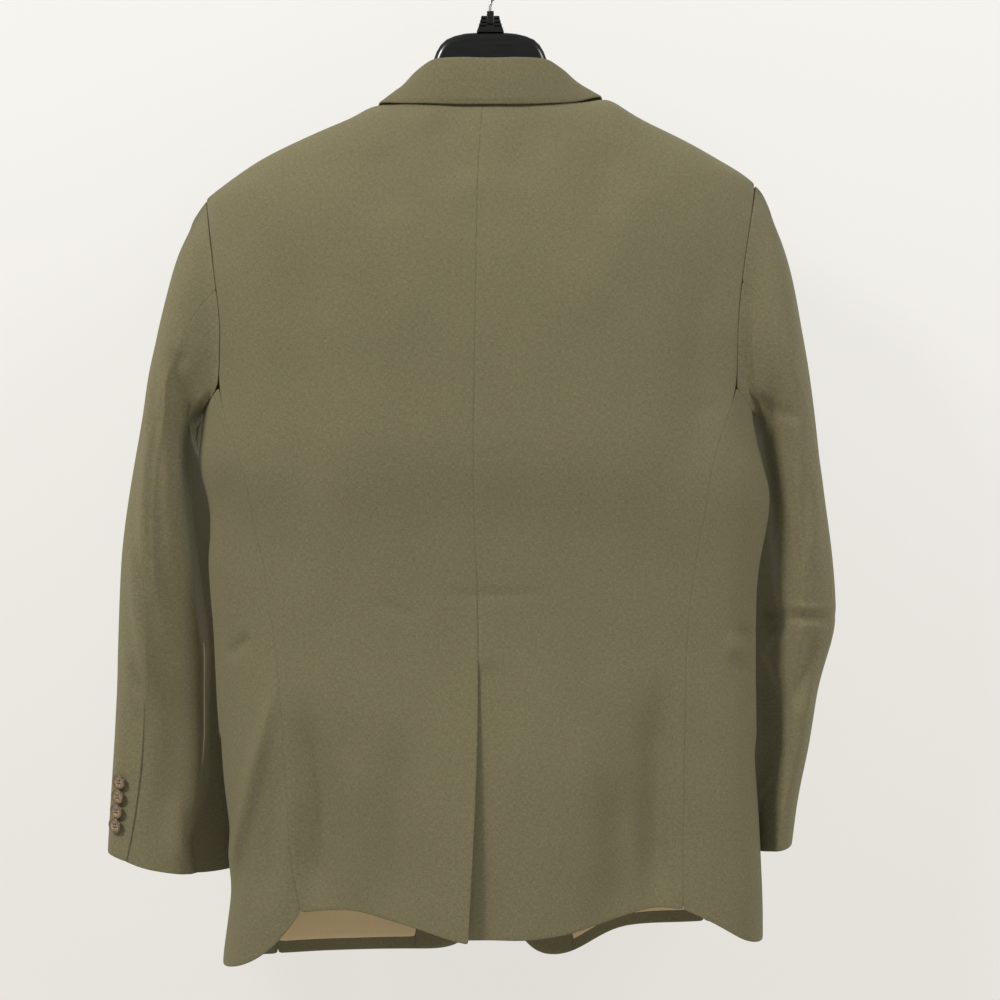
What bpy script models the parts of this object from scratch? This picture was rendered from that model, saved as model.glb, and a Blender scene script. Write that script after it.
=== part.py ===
"""Sport coat on a hanger: a two-button coat with a centre vent, hung by the hook.

Metres, +Z up. The origin is the inside top of the hook. The back faces -Y,
the front faces +Y, and the wearer's left is -X.
"""
import math
from functools import lru_cache

import bmesh
import bpy
import numpy as np

CLOTH = 0.0022            # wall of a coat panel
LINING_WALL = 0.0010      # wall of the lining and facing layers
SEAM = 0.00018            # each panel stops this far short of its seam line
LAYER = 0.0005            # clear space between two layers of cloth

NECK_Z = -0.1380          # upper edge of the back, under the collar
TIP_Z = {-1: -0.2240, 1: -0.2090}   # shoulder tips, left and right
ARMHOLE_Z = -0.4080       # where the armhole meets the side seams
ARMHOLE_DIP = 0.0230      # the underarm hangs this far below that
BUTTON_Z = -0.6050        # upper front button
LOWER_BUTTON_Z = -0.7150
VENT_Z = -0.6660          # top of the centre vent
SHOULDER_ROWS = 7
ARM_ROWS = 8
SKIRT_ROWS = 17
SIDE_COLUMNS = 6
FRONT_COLUMNS = 9
FACING_COLUMNS = 3
BACK_SEAM_STEP = 4        # loop step where the sleeve's back seam starts
FRONT_SEAM_STEP = 16      # loop step where the sleeve's front seam starts
SQUARE = 2.6              # how square the body's sections are

# body sections: height, half-widths, depth behind and before, middle
BODY_NAMES = ("z", "left", "right", "back", "front", "middle")
BODY = (
    (-0.130, 0.0860, 0.0830, 0.043, 0.040, 0.002),
    (-0.138, 0.1060, 0.1030, 0.045, 0.041, 0.002),
    (-0.151, 0.1440, 0.1500, 0.051, 0.045, 0.001),
    (-0.170, 0.1880, 0.1910, 0.057, 0.049, 0.000),
    (-0.190, 0.2280, 0.2270, 0.062, 0.053, -0.001),
    (-0.208, 0.2530, 0.2540, 0.065, 0.056, -0.002),
    (-0.224, 0.2735, 0.2630, 0.067, 0.058, -0.003),
    (-0.245, 0.2810, 0.2680, 0.070, 0.061, -0.004),
    (-0.300, 0.2880, 0.2700, 0.074, 0.066, -0.006),
    (-0.350, 0.2840, 0.2640, 0.074, 0.068, -0.008),
    (-0.408, 0.2740, 0.2510, 0.072, 0.068, -0.010),
    (-0.448, 0.2760, 0.2530, 0.070, 0.066, -0.014),
    (-0.478, 0.2860, 0.2610, 0.068, 0.064, -0.018),
    (-0.500, 0.2870, 0.2690, 0.067, 0.063, -0.018),
    (-0.520, 0.2750, 0.2690, 0.066, 0.062, -0.016),
    (-0.545, 0.2713, 0.2641, 0.065, 0.061, -0.014),
    (-0.600, 0.2690, 0.2555, 0.063, 0.060, -0.013),
    (-0.650, 0.2646, 0.2550, 0.063, 0.060, -0.012),
    (-0.727, 0.2618, 0.2556, 0.065, 0.061, -0.011),
    (-0.803, 0.2555, 0.2590, 0.067, 0.062, -0.010),
    (-0.855, 0.2470, 0.2620, 0.068, 0.063, -0.010),
    (-0.925, 0.2550, 0.2640, 0.070, 0.064, -0.010),
    (-0.975, 0.2600, 0.2640, 0.071, 0.064, -0.010),
)

# where the seams lie across the body, by height
SEAM_NAMES = ("z", "centre", "back_left", "back_right", "front_left", "front_right")
SEAMS = (
    (-0.138, -0.0070, -0.106, 0.1030, -0.106, 0.1030),
    (-0.209, -0.0112, -0.2535, 0.2545, -0.2535, 0.2545),
    (-0.224, -0.0115, -0.2735, 0.2515, -0.2735, 0.2510),
    (-0.248, -0.0120, -0.2675, 0.2465, -0.2620, 0.2440),
    (-0.300, -0.0128, -0.2600, 0.2378, -0.2480, 0.2340),
    (-0.355, -0.0138, -0.2536, 0.2328, -0.2430, 0.2280),
    (-0.408, -0.0144, -0.2560, 0.2325, -0.2500, 0.2300),
    (-0.465, -0.0153, -0.2394, 0.2125, -0.2440, 0.2250),
    (-0.520, -0.0150, -0.2263, 0.2020, -0.2380, 0.2200),
    (-0.570, -0.0130, -0.2141, 0.1940, -0.2300, 0.2130),
    (-0.627, -0.0114, -0.2053, 0.1860, -0.2220, 0.2060),
    (-0.700, -0.0112, -0.1968, 0.1832, -0.2160, 0.2040),
    (-0.780, -0.0130, -0.1920, 0.1823, -0.2120, 0.2060),
    (-0.850, -0.0161, -0.1880, 0.1813, -0.2100, 0.2090),
    (-0.930, -0.0197, -0.1730, 0.1810, -0.2090, 0.2100),
    (-0.975, -0.0197, -0.1700, 0.1810, -0.2090, 0.2100),
)

# hem: place across, height behind, height before, wave of the back cloth
HEM_NAMES = ("x", "back", "front", "wave")
HEM = (
    (-0.300, -0.9585, -0.9570, -0.004),
    (-0.257, -0.9580, -0.9570, -0.006),
    (-0.234, -0.9510, -0.9585, -0.008),
    (-0.212, -0.9390, -0.9595, -0.002),
    (-0.194, -0.9260, -0.9595, 0.008),
    (-0.176, -0.9010, -0.9590, 0.016),
    (-0.128, -0.8985, -0.9585, 0.017),
    (-0.098, -0.9050, -0.9585, 0.008),
    (-0.069, -0.9112, -0.9585, 0.000),
    (-0.039, -0.9195, -0.9600, -0.006),
    (-0.022, -0.9235, -0.9600, -0.009),
    (-0.009, -0.9210, -0.9600, -0.006),
    (0.029, -0.9227, -0.9640, -0.003),
    (0.067, -0.9184, -0.9665, 0.000),
    (0.086, -0.9150, -0.9600, 0.005),
    (0.105, -0.9087, -0.9470, 0.011),
    (0.130, -0.9020, -0.9345, 0.016),
    (0.158, -0.8944, -0.9315, 0.017),
    (0.190, -0.9010, -0.9295, 0.012),
    (0.210, -0.9080, -0.9275, 0.004),
    (0.224, -0.9215, -0.9265, -0.003),
    (0.246, -0.9345, -0.9280, -0.007),
    (0.260, -0.9390, -0.9290, -0.007),
    (0.300, -0.9395, -0.9290, -0.004),
)

# front edges of the two fronts, by height: the roll line, then the cutaway
EDGE_NAMES = ("z", "left", "right")
EDGE = (
    (-0.138, -0.0880, 0.0850),
    (-0.170, -0.0840, 0.0800),
    (-0.300, -0.0500, 0.0460),
    (-0.450, -0.0100, 0.0100),
    (-0.590, 0.0190, -0.0150),
    (-0.640, 0.0210, -0.0170),
    (-0.720, 0.0190, -0.0140),
    (-0.800, 0.0120, -0.0020),
    (-0.860, 0.0030, 0.0110),
    (-0.980, -0.0100, 0.0180),
)
# rounded lower corner of each front: where it starts, its width and height
CORNER = {-1: (-0.062, 0.060, 0.050), 1: (0.066, 0.052, 0.055)}

# creases of the body: from (x, z) to (x, z), half-width, depth, on which face
CREASE_NAMES = ("x0", "z0", "x1", "z1", "width", "depth", "face", "side")
CREASES = (
    (-0.155, -0.735, -0.150, -0.900, 0.022, 0.0060, "back", -1),
    (-0.078, -0.735, -0.086, -0.905, 0.018, 0.0040, "back", -1),
    (0.158, -0.690, 0.160, -0.890, 0.024, 0.0060, "back", 1),
    (-0.298, -0.545, -0.250, -0.500, 0.016, 0.0050, "back", -1),
    (0.230, -0.632, 0.262, -0.645, 0.010, 0.0035, "back", 1),
    (-0.206, -0.700, -0.236, -0.840, 0.016, -0.0070, "back", -1),
    (-0.120, -0.640, -0.140, -0.930, 0.026, 0.0050, "front", -1),
    (0.110, -0.620, 0.135, -0.900, 0.026, 0.0050, "front", 1),
)

# sleeve sections: outer and inner point, middle, half-depth, squareness, how far
# across from the outer edge the back seam lies, and how far the inner edge
# leans forward past the side of the body
SLEEVE_NAMES = ("xo", "zo", "xi", "zi", "y", "deep", "square", "seam", "lean")
SLEEVE_LEFT = (
    (-0.2810, -0.2350, -0.2805, -0.4360, -0.004, 0.052, 2.2, 0.47, 0.000),
    (-0.2925, -0.2520, -0.2870, -0.4420, -0.001, 0.060, 2.2, 0.53, 0.003),
    (-0.3020, -0.2760, -0.2895, -0.4500, 0.002, 0.065, 2.2, 0.56, 0.008),
    (-0.3095, -0.3080, -0.2880, -0.4600, 0.005, 0.067, 2.2, 0.52, 0.016),
    (-0.3190, -0.3430, -0.2840, -0.4720, 0.008, 0.067, 2.2, 0.44, 0.026),
    (-0.3265, -0.3840, -0.2780, -0.4880, 0.010, 0.066, 2.2, 0.35, 0.037),
    (-0.3345, -0.4260, -0.2720, -0.5060, 0.012, 0.065, 2.2, 0.28, 0.046),
    (-0.3420, -0.4680, -0.2670, -0.5280, 0.013, 0.064, 2.2, 0.25, 0.050),
    (-0.3510, -0.5140, -0.2640, -0.5560, 0.014, 0.062, 2.3, 0.27, 0.050),
    (-0.3560, -0.5560, -0.2625, -0.5850, 0.014, 0.060, 2.3, 0.30, 0.050),
    (-0.3590, -0.5960, -0.2610, -0.6180, 0.014, 0.058, 2.4, 0.33, 0.050),
    (-0.3600, -0.6370, -0.2600, -0.6520, 0.014, 0.055, 2.5, 0.36, 0.048),
    (-0.3612, -0.6800, -0.2580, -0.6880, 0.012, 0.050, 2.7, 0.36, 0.046),
    (-0.3621, -0.7220, -0.2560, -0.7260, 0.010, 0.045, 2.9, 0.31, 0.044),
    (-0.3640, -0.7620, -0.2530, -0.7650, 0.006, 0.040, 3.1, 0.28, 0.042),
    (-0.3658, -0.8000, -0.2490, -0.8040, 0.002, 0.037, 3.2, 0.24, 0.040),
    (-0.3672, -0.8280, -0.2450, -0.8390, 0.000, 0.035, 3.2, 0.20, 0.038),
    (-0.3681, -0.8505, -0.2410, -0.8700, -0.001, 0.035, 3.2, 0.16, 0.036),
)
SLEEVE_RIGHT = (
    (0.2640, -0.2180, 0.2630, -0.4360, 0.000, 0.052, 2.2, 0.44, 0.000),
    (0.2765, -0.2430, 0.2670, -0.4430, 0.005, 0.060, 2.2, 0.49, 0.003),
    (0.2860, -0.2710, 0.2670, -0.4480, 0.010, 0.065, 2.2, 0.52, 0.008),
    (0.2950, -0.3060, 0.2660, -0.4600, 0.015, 0.067, 2.2, 0.46, 0.016),
    (0.3010, -0.3440, 0.2630, -0.4740, 0.019, 0.067, 2.2, 0.37, 0.026),
    (0.3080, -0.3830, 0.2600, -0.4910, 0.022, 0.066, 2.2, 0.25, 0.036),
    (0.3160, -0.4300, 0.2580, -0.5110, 0.025, 0.065, 2.2, 0.16, 0.043),
    (0.3200, -0.4800, 0.2550, -0.5340, 0.028, 0.063, 2.2, 0.11, 0.046),
    (0.3285, -0.5300, 0.2510, -0.5580, 0.030, 0.062, 2.3, 0.09, 0.048),
    (0.3345, -0.5760, 0.2470, -0.5850, 0.032, 0.061, 2.3, 0.09, 0.048),
    (0.3388, -0.6260, 0.2450, -0.6200, 0.034, 0.060, 2.3, 0.09, 0.048),
    (0.3330, -0.6550, 0.2440, -0.6510, 0.035, 0.058, 2.4, 0.09, 0.046),
    (0.3202, -0.6920, 0.2440, -0.6870, 0.037, 0.055, 2.5, 0.09, 0.044),
    (0.3125, -0.7400, 0.2450, -0.7360, 0.038, 0.053, 2.7, 0.09, 0.042),
    (0.3045, -0.7730, 0.2460, -0.7710, 0.037, 0.052, 2.8, 0.09, 0.040),
    (0.2985, -0.8010, 0.2470, -0.8020, 0.036, 0.051, 2.9, 0.09, 0.038),
    (0.2945, -0.8250, 0.2480, -0.8300, 0.035, 0.050, 3.0, 0.09, 0.036),
    (0.2915, -0.8460, 0.2490, -0.8560, 0.034, 0.050, 3.0, 0.09, 0.034),
)
FRONT_SEAM_ANGLE = 222.0
CUFF_DROP = {-1: 0.0095, 1: 0.0}   # the cuff's edge hangs this much lower in its middle

# collar stations behind: base of the stand, fold line, outer edge (x >= 0)
COLLAR_BACK = (
    (0.0000, -0.0400, -0.1365, 0.0000, -0.0470, -0.0985, 0.0000, -0.1412),
    (0.0260, -0.0390, -0.1365, 0.0270, -0.0460, -0.0975, 0.0290, -0.1412),
    (0.0500, -0.0350, -0.1365, 0.0520, -0.0400, -0.0975, 0.0600, -0.1395),
    (0.0740, -0.0260, -0.1365, 0.0690, -0.0270, -0.1075, 0.0850, -0.1375),
)
# collar stations over the shoulder: base, fold and edge, each x, y and z
COLLAR_SIDE = (
    (0.0870, -0.0120, -0.1365, 0.0820, -0.0120, -0.1185, 0.1060, -0.0180, -0.1335),
    (0.0860, 0.0080, -0.1365, 0.0830, 0.0100, -0.1235, 0.1090, 0.0160, -0.1335),
    (0.0800, 0.0180, -0.1395, 0.0795, 0.0255, -0.1300, 0.1125, 0.0340, -0.1400),
)
# collar stations in front: height at the roll line, outer edge x and z
COLLAR_FRONT = (
    (-0.1480, 0.1120, -0.1560),
    (-0.1680, 0.1160, -0.1850),
    (-0.1930, 0.1190, -0.2180),
    (-0.2150, 0.1080, -0.2420),
)

# lapel: height of the roll line, width there, outer edge drop
LAPEL_END = {-1: -0.590, 1: -0.492}
LAPEL_NAMES = ("z", "width", "drop", "lift")
LAPEL = (
    (-0.2290, 0.0760, -0.018, 0.0045),
    (-0.2600, 0.0920, -0.010, 0.0045),
    (-0.3200, 0.0900, -0.006, 0.0050),
    (-0.4000, 0.0760, -0.008, 0.0060),
    (-0.4800, 0.0560, -0.010, 0.0070),
    (-0.5500, 0.0300, -0.008, 0.0060),
    (-0.5900, 0.0080, -0.004, 0.0045),
)

# hanger arm: place across, top, height and half-thickness of each section
HANGER_NAMES = ("x", "top", "tall", "half")
HANGER = (
    (0.000, -0.0620, 0.060, 0.0090),
    (0.024, -0.0630, 0.062, 0.0092),
    (0.040, -0.0685, 0.064, 0.0095),
    (0.051, -0.0800, 0.060, 0.0098),
    (0.062, -0.1120, 0.042, 0.0100),
    (0.080, -0.1370, 0.032, 0.0105),
    (0.115, -0.1570, 0.028, 0.0115),
    (0.160, -0.1790, 0.026, 0.0130),
    (0.200, -0.2000, 0.025, 0.0150),
    (0.228, -0.2170, 0.024, 0.0160),
    (0.240, -0.2270, 0.020, 0.0140),
)
HANGER_RING = 12
NECK_PROFILE = ((0.0142, -0.0614), (0.0142, -0.0592), (0.0118, -0.0586),
                (0.0126, -0.0562), (0.0104, -0.0556), (0.0112, -0.0532),
                (0.0090, -0.0526), (0.0098, -0.0502), (0.0078, -0.0496),
                (0.0086, -0.0470), (0.0040, -0.0462), (0.0040, -0.0418))
HOOK_WIRE = 0.0017        # radius of the hook's wire
HOOK_RING = 0.0175        # inside radius of the hook
BORE = 0.0021             # radius of the bore that takes the wire

BUTTON_RADIUS = 0.0075
BUTTON_WALL = 0.0021
FRONT_BUTTON_RADIUS = 0.0100
FLAP_END = math.radians(98.0)       # how far round the side a pocket flap reaches
CUFF_BUTTONS = {-1: (-0.7822, -0.7960, -0.8098, -0.8236),
                1: (-0.7822, -0.7960, -0.8098, -0.8236)}
CUFF_STEP = {-1: 2.75, 1: -1.5}     # how far round the sleeve the buttons sit, in loop steps
BUTTON_TILT = math.radians(11.0)


def start_empty():
    """Remove whatever the new file holds."""
    for obj in list(bpy.data.objects):
        bpy.data.objects.remove(obj, do_unlink=True)


def smooth(xs, ys, x):
    """Smooth curve through the points of a short table."""
    xs = np.asarray(xs, float)
    ys = np.asarray(ys, float)
    if xs[0] > xs[-1]:
        xs = xs[::-1]
        ys = ys[::-1]
    x = min(max(x, xs[0]), xs[-1])
    step = np.diff(ys) / np.diff(xs)
    slope = np.zeros(len(xs))
    for i in range(1, len(xs) - 1):
        if step[i - 1] * step[i] > 0.0:
            slope[i] = 2.0 * step[i - 1] * step[i] / (step[i - 1] + step[i])
    slope[0] = step[0]
    slope[-1] = step[-1]
    i = min(int(np.searchsorted(xs, x, side="right")) - 1, len(xs) - 2)
    h = xs[i + 1] - xs[i]
    t = (x - xs[i]) / h
    a = (1 + 2 * t) * (1 - t) ** 2
    b = t * (1 - t) ** 2
    c = t * t * (3 - 2 * t)
    d = t * t * (t - 1)
    return float(a * ys[i] + b * h * slope[i] + c * ys[i + 1] + d * h * slope[i + 1])


def read(table, names, name, at):
    """Value of one named column of a table, at a value of its first column."""
    k = names.index(name)
    return smooth([row[0] for row in table], [row[k] for row in table], at)


@lru_cache(maxsize=None)
def body(name, z):
    """One named size of the body at a height."""
    return read(BODY, BODY_NAMES, name, z)


@lru_cache(maxsize=None)
def seam(name, z):
    """Where one named seam lies at a height."""
    return read(SEAMS, SEAM_NAMES, name, z)


def ramp(low, high, x):
    """Soft step from 0 at low to 1 at high."""
    t = min(max((x - low) / (high - low), 0.0), 1.0)
    return t * t * (3.0 - 2.0 * t)


def half_width(side, z):
    """Half-width of the body on one side."""
    return body("left" if side < 0 else "right", z)


def angle_at(x, z, front=False):
    """Angle round the body's section where the cloth lies at x."""
    side = -1 if x < 0 else 1
    u = min(abs(x) / half_width(side, z), 1.0)
    angle = math.asin(u ** (SQUARE / 2.0))
    if front:
        angle = math.pi - angle
    return side * angle


def crease_shift(x, z, front):
    """How far the large creases push the cloth in at one place."""
    total = 0.0
    for row in CREASES:
        crease = dict(zip(CREASE_NAMES, row))
        if (crease["face"] == "front") != front:
            continue
        if crease["side"] * x < -0.02:
            continue
        ax = crease["x1"] - crease["x0"]
        az = crease["z1"] - crease["z0"]
        t = ((x - crease["x0"]) * ax + (z - crease["z0"]) * az) / (ax * ax + az * az)
        across = math.hypot(x - crease["x0"] - t * ax, z - crease["z0"] - t * az)
        along = ramp(-0.15, 0.45, t) * (1.0 - ramp(0.85, 1.15, t))
        total += crease["depth"] * along * math.exp(-(across / crease["width"]) ** 2)
    return total


def body_point(angle, z, inward=0.0):
    """Point of the coat's outer face; angle 0 is the centre back."""
    side = -1 if angle < 0 else 1
    s = abs(math.sin(angle))
    c = math.cos(angle)
    x = side * half_width(side, z) * s ** (2.0 / SQUARE)
    front = c < 0.0
    depth = body("front" if front else "back", z)
    reach = abs(c) ** (2.0 / SQUARE)
    y = body("middle", z) + (depth if front else -depth) * reach
    fade = abs(c) ** 0.8
    push = crease_shift(x, z, front) * fade
    if not front:
        wave = read(HEM, HEM_NAMES, "wave", x)
        push += wave * ramp(-0.66, -0.90, z) * fade
        push += 0.010 * ramp(-0.42, -0.55, z) * ramp(-0.80, -0.62, z) * reach
    y += -push if front else push
    if inward:
        size = math.hypot(x / 0.26, (y - body("middle", z)) / 0.065) or 1.0
        x -= inward * (x / 0.26) / size * 0.6
        y -= inward * ((y - body("middle", z)) / 0.065) / size
    return np.array((x, y, z))


def spaced_angles(start, end, z, count):
    """Angles from start to end, evenly spaced along the cloth, with a ghost each side."""
    many = np.linspace(start, end, 33)
    points = np.array([body_point(a, z) for a in many])
    gone = np.concatenate(([0.0], np.cumsum(np.linalg.norm(np.diff(points, axis=0), axis=1))))
    wanted = np.linspace(0.0, gone[-1], count + 1)
    found = list(np.interp(wanted, gone, many))
    before = found[0] - (found[1] - found[0])
    after = found[-1] + (found[-1] - found[-2])
    return [before] + found + [after]


def row_height(row, rows, top, bottom):
    """Height of one row between two edges of the cloth."""
    return top + (bottom - top) * row / rows


def grid_normals(points, turn):
    """Outward directions over a grid that has a ghost row and column all round."""
    along = points[2:, 1:-1] - points[:-2, 1:-1]
    across = points[1:-1, 2:] - points[1:-1, :-2]
    normal = np.cross(across, along) * turn
    size = np.linalg.norm(normal, axis=2, keepdims=True)
    return normal / np.maximum(size, 1e-12)


def pull_back(points, gap):
    """Move the rim of a grid in from its seams."""
    out = points.copy()
    for rim, inner in ((0, 1), (-1, -2)):
        step = points[inner] - points[rim]
        size = np.linalg.norm(step, axis=1, keepdims=True)
        out[rim] = out[rim] + step / np.maximum(size, 1e-9) * gap
    for rim, inner in ((0, 1), (-1, -2)):
        step = points[:, inner] - points[:, rim]
        size = np.linalg.norm(step, axis=1, keepdims=True)
        out[:, rim] = out[:, rim] + step / np.maximum(size, 1e-9) * gap
    return out


def material(name, colour, roughness=0.8, metallic=0.0):
    """One plain material."""
    mat = bpy.data.materials.new(name)
    mat.use_nodes = True
    shader = mat.node_tree.nodes["Principled BSDF"]
    shader.inputs["Base Color"].default_value = (*colour, 1.0)
    shader.inputs["Roughness"].default_value = roughness
    shader.inputs["Metallic"].default_value = metallic
    mat.diffuse_color = (*colour, 1.0)
    return mat


def add_object(name, verts, faces, colour, roughness=0.8, metallic=0.0):
    """One closed piece with its own material, faces turned outward."""
    mesh = bpy.data.meshes.new(name)
    mesh.from_pydata([tuple(v) for v in verts], [], faces)
    bm = bmesh.new()
    bm.from_mesh(mesh)
    bmesh.ops.recalc_face_normals(bm, faces=bm.faces)
    if bm.calc_volume(signed=True) < 0.0:
        bmesh.ops.reverse_faces(bm, faces=bm.faces)
    bm.to_mesh(mesh)
    bm.free()
    obj = bpy.data.objects.new(name, mesh)
    bpy.context.scene.collection.objects.link(obj)
    mesh.materials.append(material(name + "_mat", colour, roughness, metallic))
    return obj


def wall(name, outer, normals, thickness, colour, roughness=0.85):
    """Closed cloth panel: the outer grid, the same grid set in, and the rims."""
    rows, columns = outer.shape[:2]
    inner = outer - normals * thickness
    verts = list(outer.reshape(-1, 3)) + list(inner.reshape(-1, 3))
    shift = rows * columns
    faces = []
    for r in range(rows - 1):
        for c in range(columns - 1):
            a = r * columns + c
            b = a + 1
            d = a + columns
            e = d + 1
            faces += [(a, b, e), (a, e, d)]
            faces += [(a + shift, e + shift, b + shift), (a + shift, d + shift, e + shift)]
    rim = list(range(columns))
    rim += [r * columns + columns - 1 for r in range(1, rows)]
    rim += [(rows - 1) * columns + c for c in range(columns - 2, -1, -1)]
    rim += [r * columns for r in range(rows - 2, 0, -1)]
    for i, a in enumerate(rim):
        b = rim[(i + 1) % len(rim)]
        if verts[a][2] >= verts[b][2]:
            faces += [(a, a + shift, b + shift), (a, b + shift, b)]
        else:
            faces += [(a, a + shift, b), (b, a + shift, b + shift)]
    return add_object(name, verts, faces, colour, roughness)


def body_edge(name, side, z):
    """Angle of a body panel's edge at the armhole or side seam."""
    front = name == "front"
    if z >= TIP_Z[side]:
        return side * math.pi / 2.0
    label = name + ("_left" if side < 0 else "_right")
    return angle_at(seam(label, z), z, front)


def hem_height(face, x):
    """Height of the hem at a place across."""
    return read(HEM, HEM_NAMES, face, x)


def panel_rows(heights, start, end, columns, inward=None):
    """Grid of a body panel with a ghost row and column all round."""
    grid = []
    for column_heights in heights:
        line = []
        for c in range(columns + 3):
            z = column_heights[min(max(c - 1, 0), columns)]
            angles = spaced_angles(start(z), end(z), z, columns)
            push = inward(angles[c], z) if inward else 0.0
            line.append(body_point(angles[c], z, push))
        grid.append(line)
    points = np.array(grid)
    above = points[:1] * 2.0 - points[1:2]
    below = points[-1:] * 2.0 - points[-2:-1]
    return np.concatenate((above, points, below), axis=0)


def upper_heights(side, bottoms, columns):
    """Heights of the rows of a panel that reaches up to the neck."""
    tip = TIP_Z[side]
    rows = []
    for k in range(SHOULDER_ROWS):
        rows.append([row_height(k, SHOULDER_ROWS, NECK_Z, tip)] * (columns + 1))
    for k in range(ARM_ROWS):
        rows.append([row_height(k, ARM_ROWS, tip, ARMHOLE_Z)] * (columns + 1))
    for k in range(SKIRT_ROWS + 1):
        rows.append([row_height(k, SKIRT_ROWS, ARMHOLE_Z, b) for b in bottoms])
    return rows


def hem_bottoms(face, start, end, columns):
    """Hem height of each column of a panel."""
    bottoms = []
    for c in range(columns + 1):
        z = -0.93
        for _ in range(3):
            angles = spaced_angles(start(z), end(z), z, columns)
            x = body_point(angles[c + 1], z)[0]
            z = hem_height(face, x)
        bottoms.append(z)
    return bottoms


def make_back(side, colour):
    """Half of the back, from the centre seam to the armhole and side seam."""
    columns = 9

    def vent_step(z):
        return ramp(VENT_Z + 0.012, VENT_Z - 0.016, z)

    def start(z):
        x = seam("centre", z)
        if side > 0:
            x -= 0.034 * vent_step(z)
        return angle_at(x, z)

    def end(z):
        return body_edge("back", side, z)

    def inward(angle, z):
        if side < 0:
            return 0.0
        x = half_width(-1 if angle < 0 else 1, z) * abs(math.sin(angle)) ** (2 / SQUARE)
        x = x if angle >= 0 else -x
        near = 1.0 - ramp(-0.012, 0.040, x)
        return 0.0046 * near * ramp(VENT_Z + 0.075, VENT_Z + 0.012, z)

    bottoms = hem_bottoms("back", start, end, columns)
    points = panel_rows(upper_heights(side, bottoms, columns), start, end, columns, inward)
    normals = grid_normals(points, -side)
    name = "back_left" if side < 0 else "back_right"
    outer = pull_back(points[1:-1, 1:-1], SEAM)
    return wall(name, outer, normals, CLOTH, colour)


def make_side(side, colour):
    """Side body, from the back seam round under the arm to the front seam."""
    columns = SIDE_COLUMNS

    def start(z):
        return body_edge("back", side, min(z, ARMHOLE_Z))

    def end(z):
        return body_edge("front", side, min(z, ARMHOLE_Z))

    bottoms = []
    for c in range(columns + 1):
        z = -0.94
        for _ in range(3):
            angles = spaced_angles(start(z), end(z), z, columns)
            x = body_point(angles[c + 1], z)[0]
            behind = hem_height("back", x)
            before = hem_height("front", x)
            z = behind + (before - behind) * ramp(0.0, 1.0, c / columns)
        bottoms.append(z)
    heights = []
    for k in range(SKIRT_ROWS + 1):
        line = []
        for c in range(columns + 1):
            top = ARMHOLE_Z - ARMHOLE_DIP * math.sin(math.pi * c / columns)
            line.append(row_height(k, SKIRT_ROWS, top, bottoms[c]))
        heights.append(line)
    points = panel_rows(heights, start, end, columns)
    normals = grid_normals(points, -side)
    name = "side_left" if side < 0 else "side_right"
    outer = pull_back(points[1:-1, 1:-1], SEAM)
    return wall(name, outer, normals, CLOTH, colour), points[1, 1:-1]


def edge_x(side, z):
    """Front edge of one front: the roll line above, the cutaway below."""
    return read(EDGE, EDGE_NAMES, "left" if side < 0 else "right", z)


def under_lap(side, x):
    """How far the right front lies in, where the left front laps over it."""
    if side < 0:
        return 0.0
    return 0.0046 * (1.0 - ramp(0.024, 0.060, x))


def signed_x(angle, z):
    """Place across of an angle round the body."""
    side = -1 if angle < 0 else 1
    return side * half_width(side, z) * abs(math.sin(angle)) ** (2 / SQUARE)


def front_start(side, z):
    """Angle of a front's outer edge: shoulder ridge, armhole, side seam."""
    return body_edge("front", side, z)


def front_end(side, z):
    """Angle of a front's inner edge."""
    angle = angle_at(edge_x(side, z), z, True)
    if side < 0 and angle > 0:
        angle -= 2.0 * math.pi
    if side > 0 and angle < 0:
        angle += 2.0 * math.pi
    return angle


def wrap(angle):
    """The same angle between minus pi and pi."""
    return (angle + math.pi) % (2.0 * math.pi) - math.pi


def front_point(side, angle, z, inward=0.0):
    """Point of a front's outer face."""
    angle = wrap(angle)
    x = signed_x(angle, z)
    return body_point(angle, z, inward + under_lap(side, x))


def front_angles(side, start, end, z, count):
    """Angles across a front, evenly spaced, with a ghost each side."""
    many = np.linspace(start, end, 33)
    points = np.array([front_point(side, a, z) for a in many])
    gone = np.concatenate(([0.0], np.cumsum(np.linalg.norm(np.diff(points, axis=0), axis=1))))
    found = list(np.interp(np.linspace(0.0, gone[-1], count + 1), gone, many))
    return [2 * found[0] - found[1]] + found + [2 * found[-1] - found[-2]]


def front_hem(side, x):
    """Lower edge of a front, rounded at the cutaway."""
    z = hem_height("front", x)
    corner, wide, tall = CORNER[side]
    t = min(max((corner - x) / wide * side, 0.0), 1.0)
    return z + tall * (1.0 - (1.0 - t ** 2.4) ** (1.0 / 2.4))


def front_grid(side, start, end, columns, top_rows, bottom_of, inward=0.0):
    """Grid over a front with a ghost all round."""
    bottoms = []
    for c in range(columns + 1):
        z = -0.93
        for _ in range(6):
            angles = front_angles(side, start(z), end(z), z, columns)
            x = front_point(side, angles[c + 1], z)[0]
            z = 0.5 * z + 0.5 * bottom_of(x)
        bottoms.append(z)
    heights = top_rows(columns, bottoms)
    grid = []
    for line_heights in heights:
        line = []
        for c in range(columns + 3):
            z = line_heights[min(max(c - 1, 0), columns)]
            angles = front_angles(side, start(z), end(z), z, columns)
            line.append(front_point(side, angles[c], z, inward))
        grid.append(line)
    points = np.array(grid)
    above = points[:1] * 2.0 - points[1:2]
    below = points[-1:] * 2.0 - points[-2:-1]
    return np.concatenate((above, points, below), axis=0)


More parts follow.
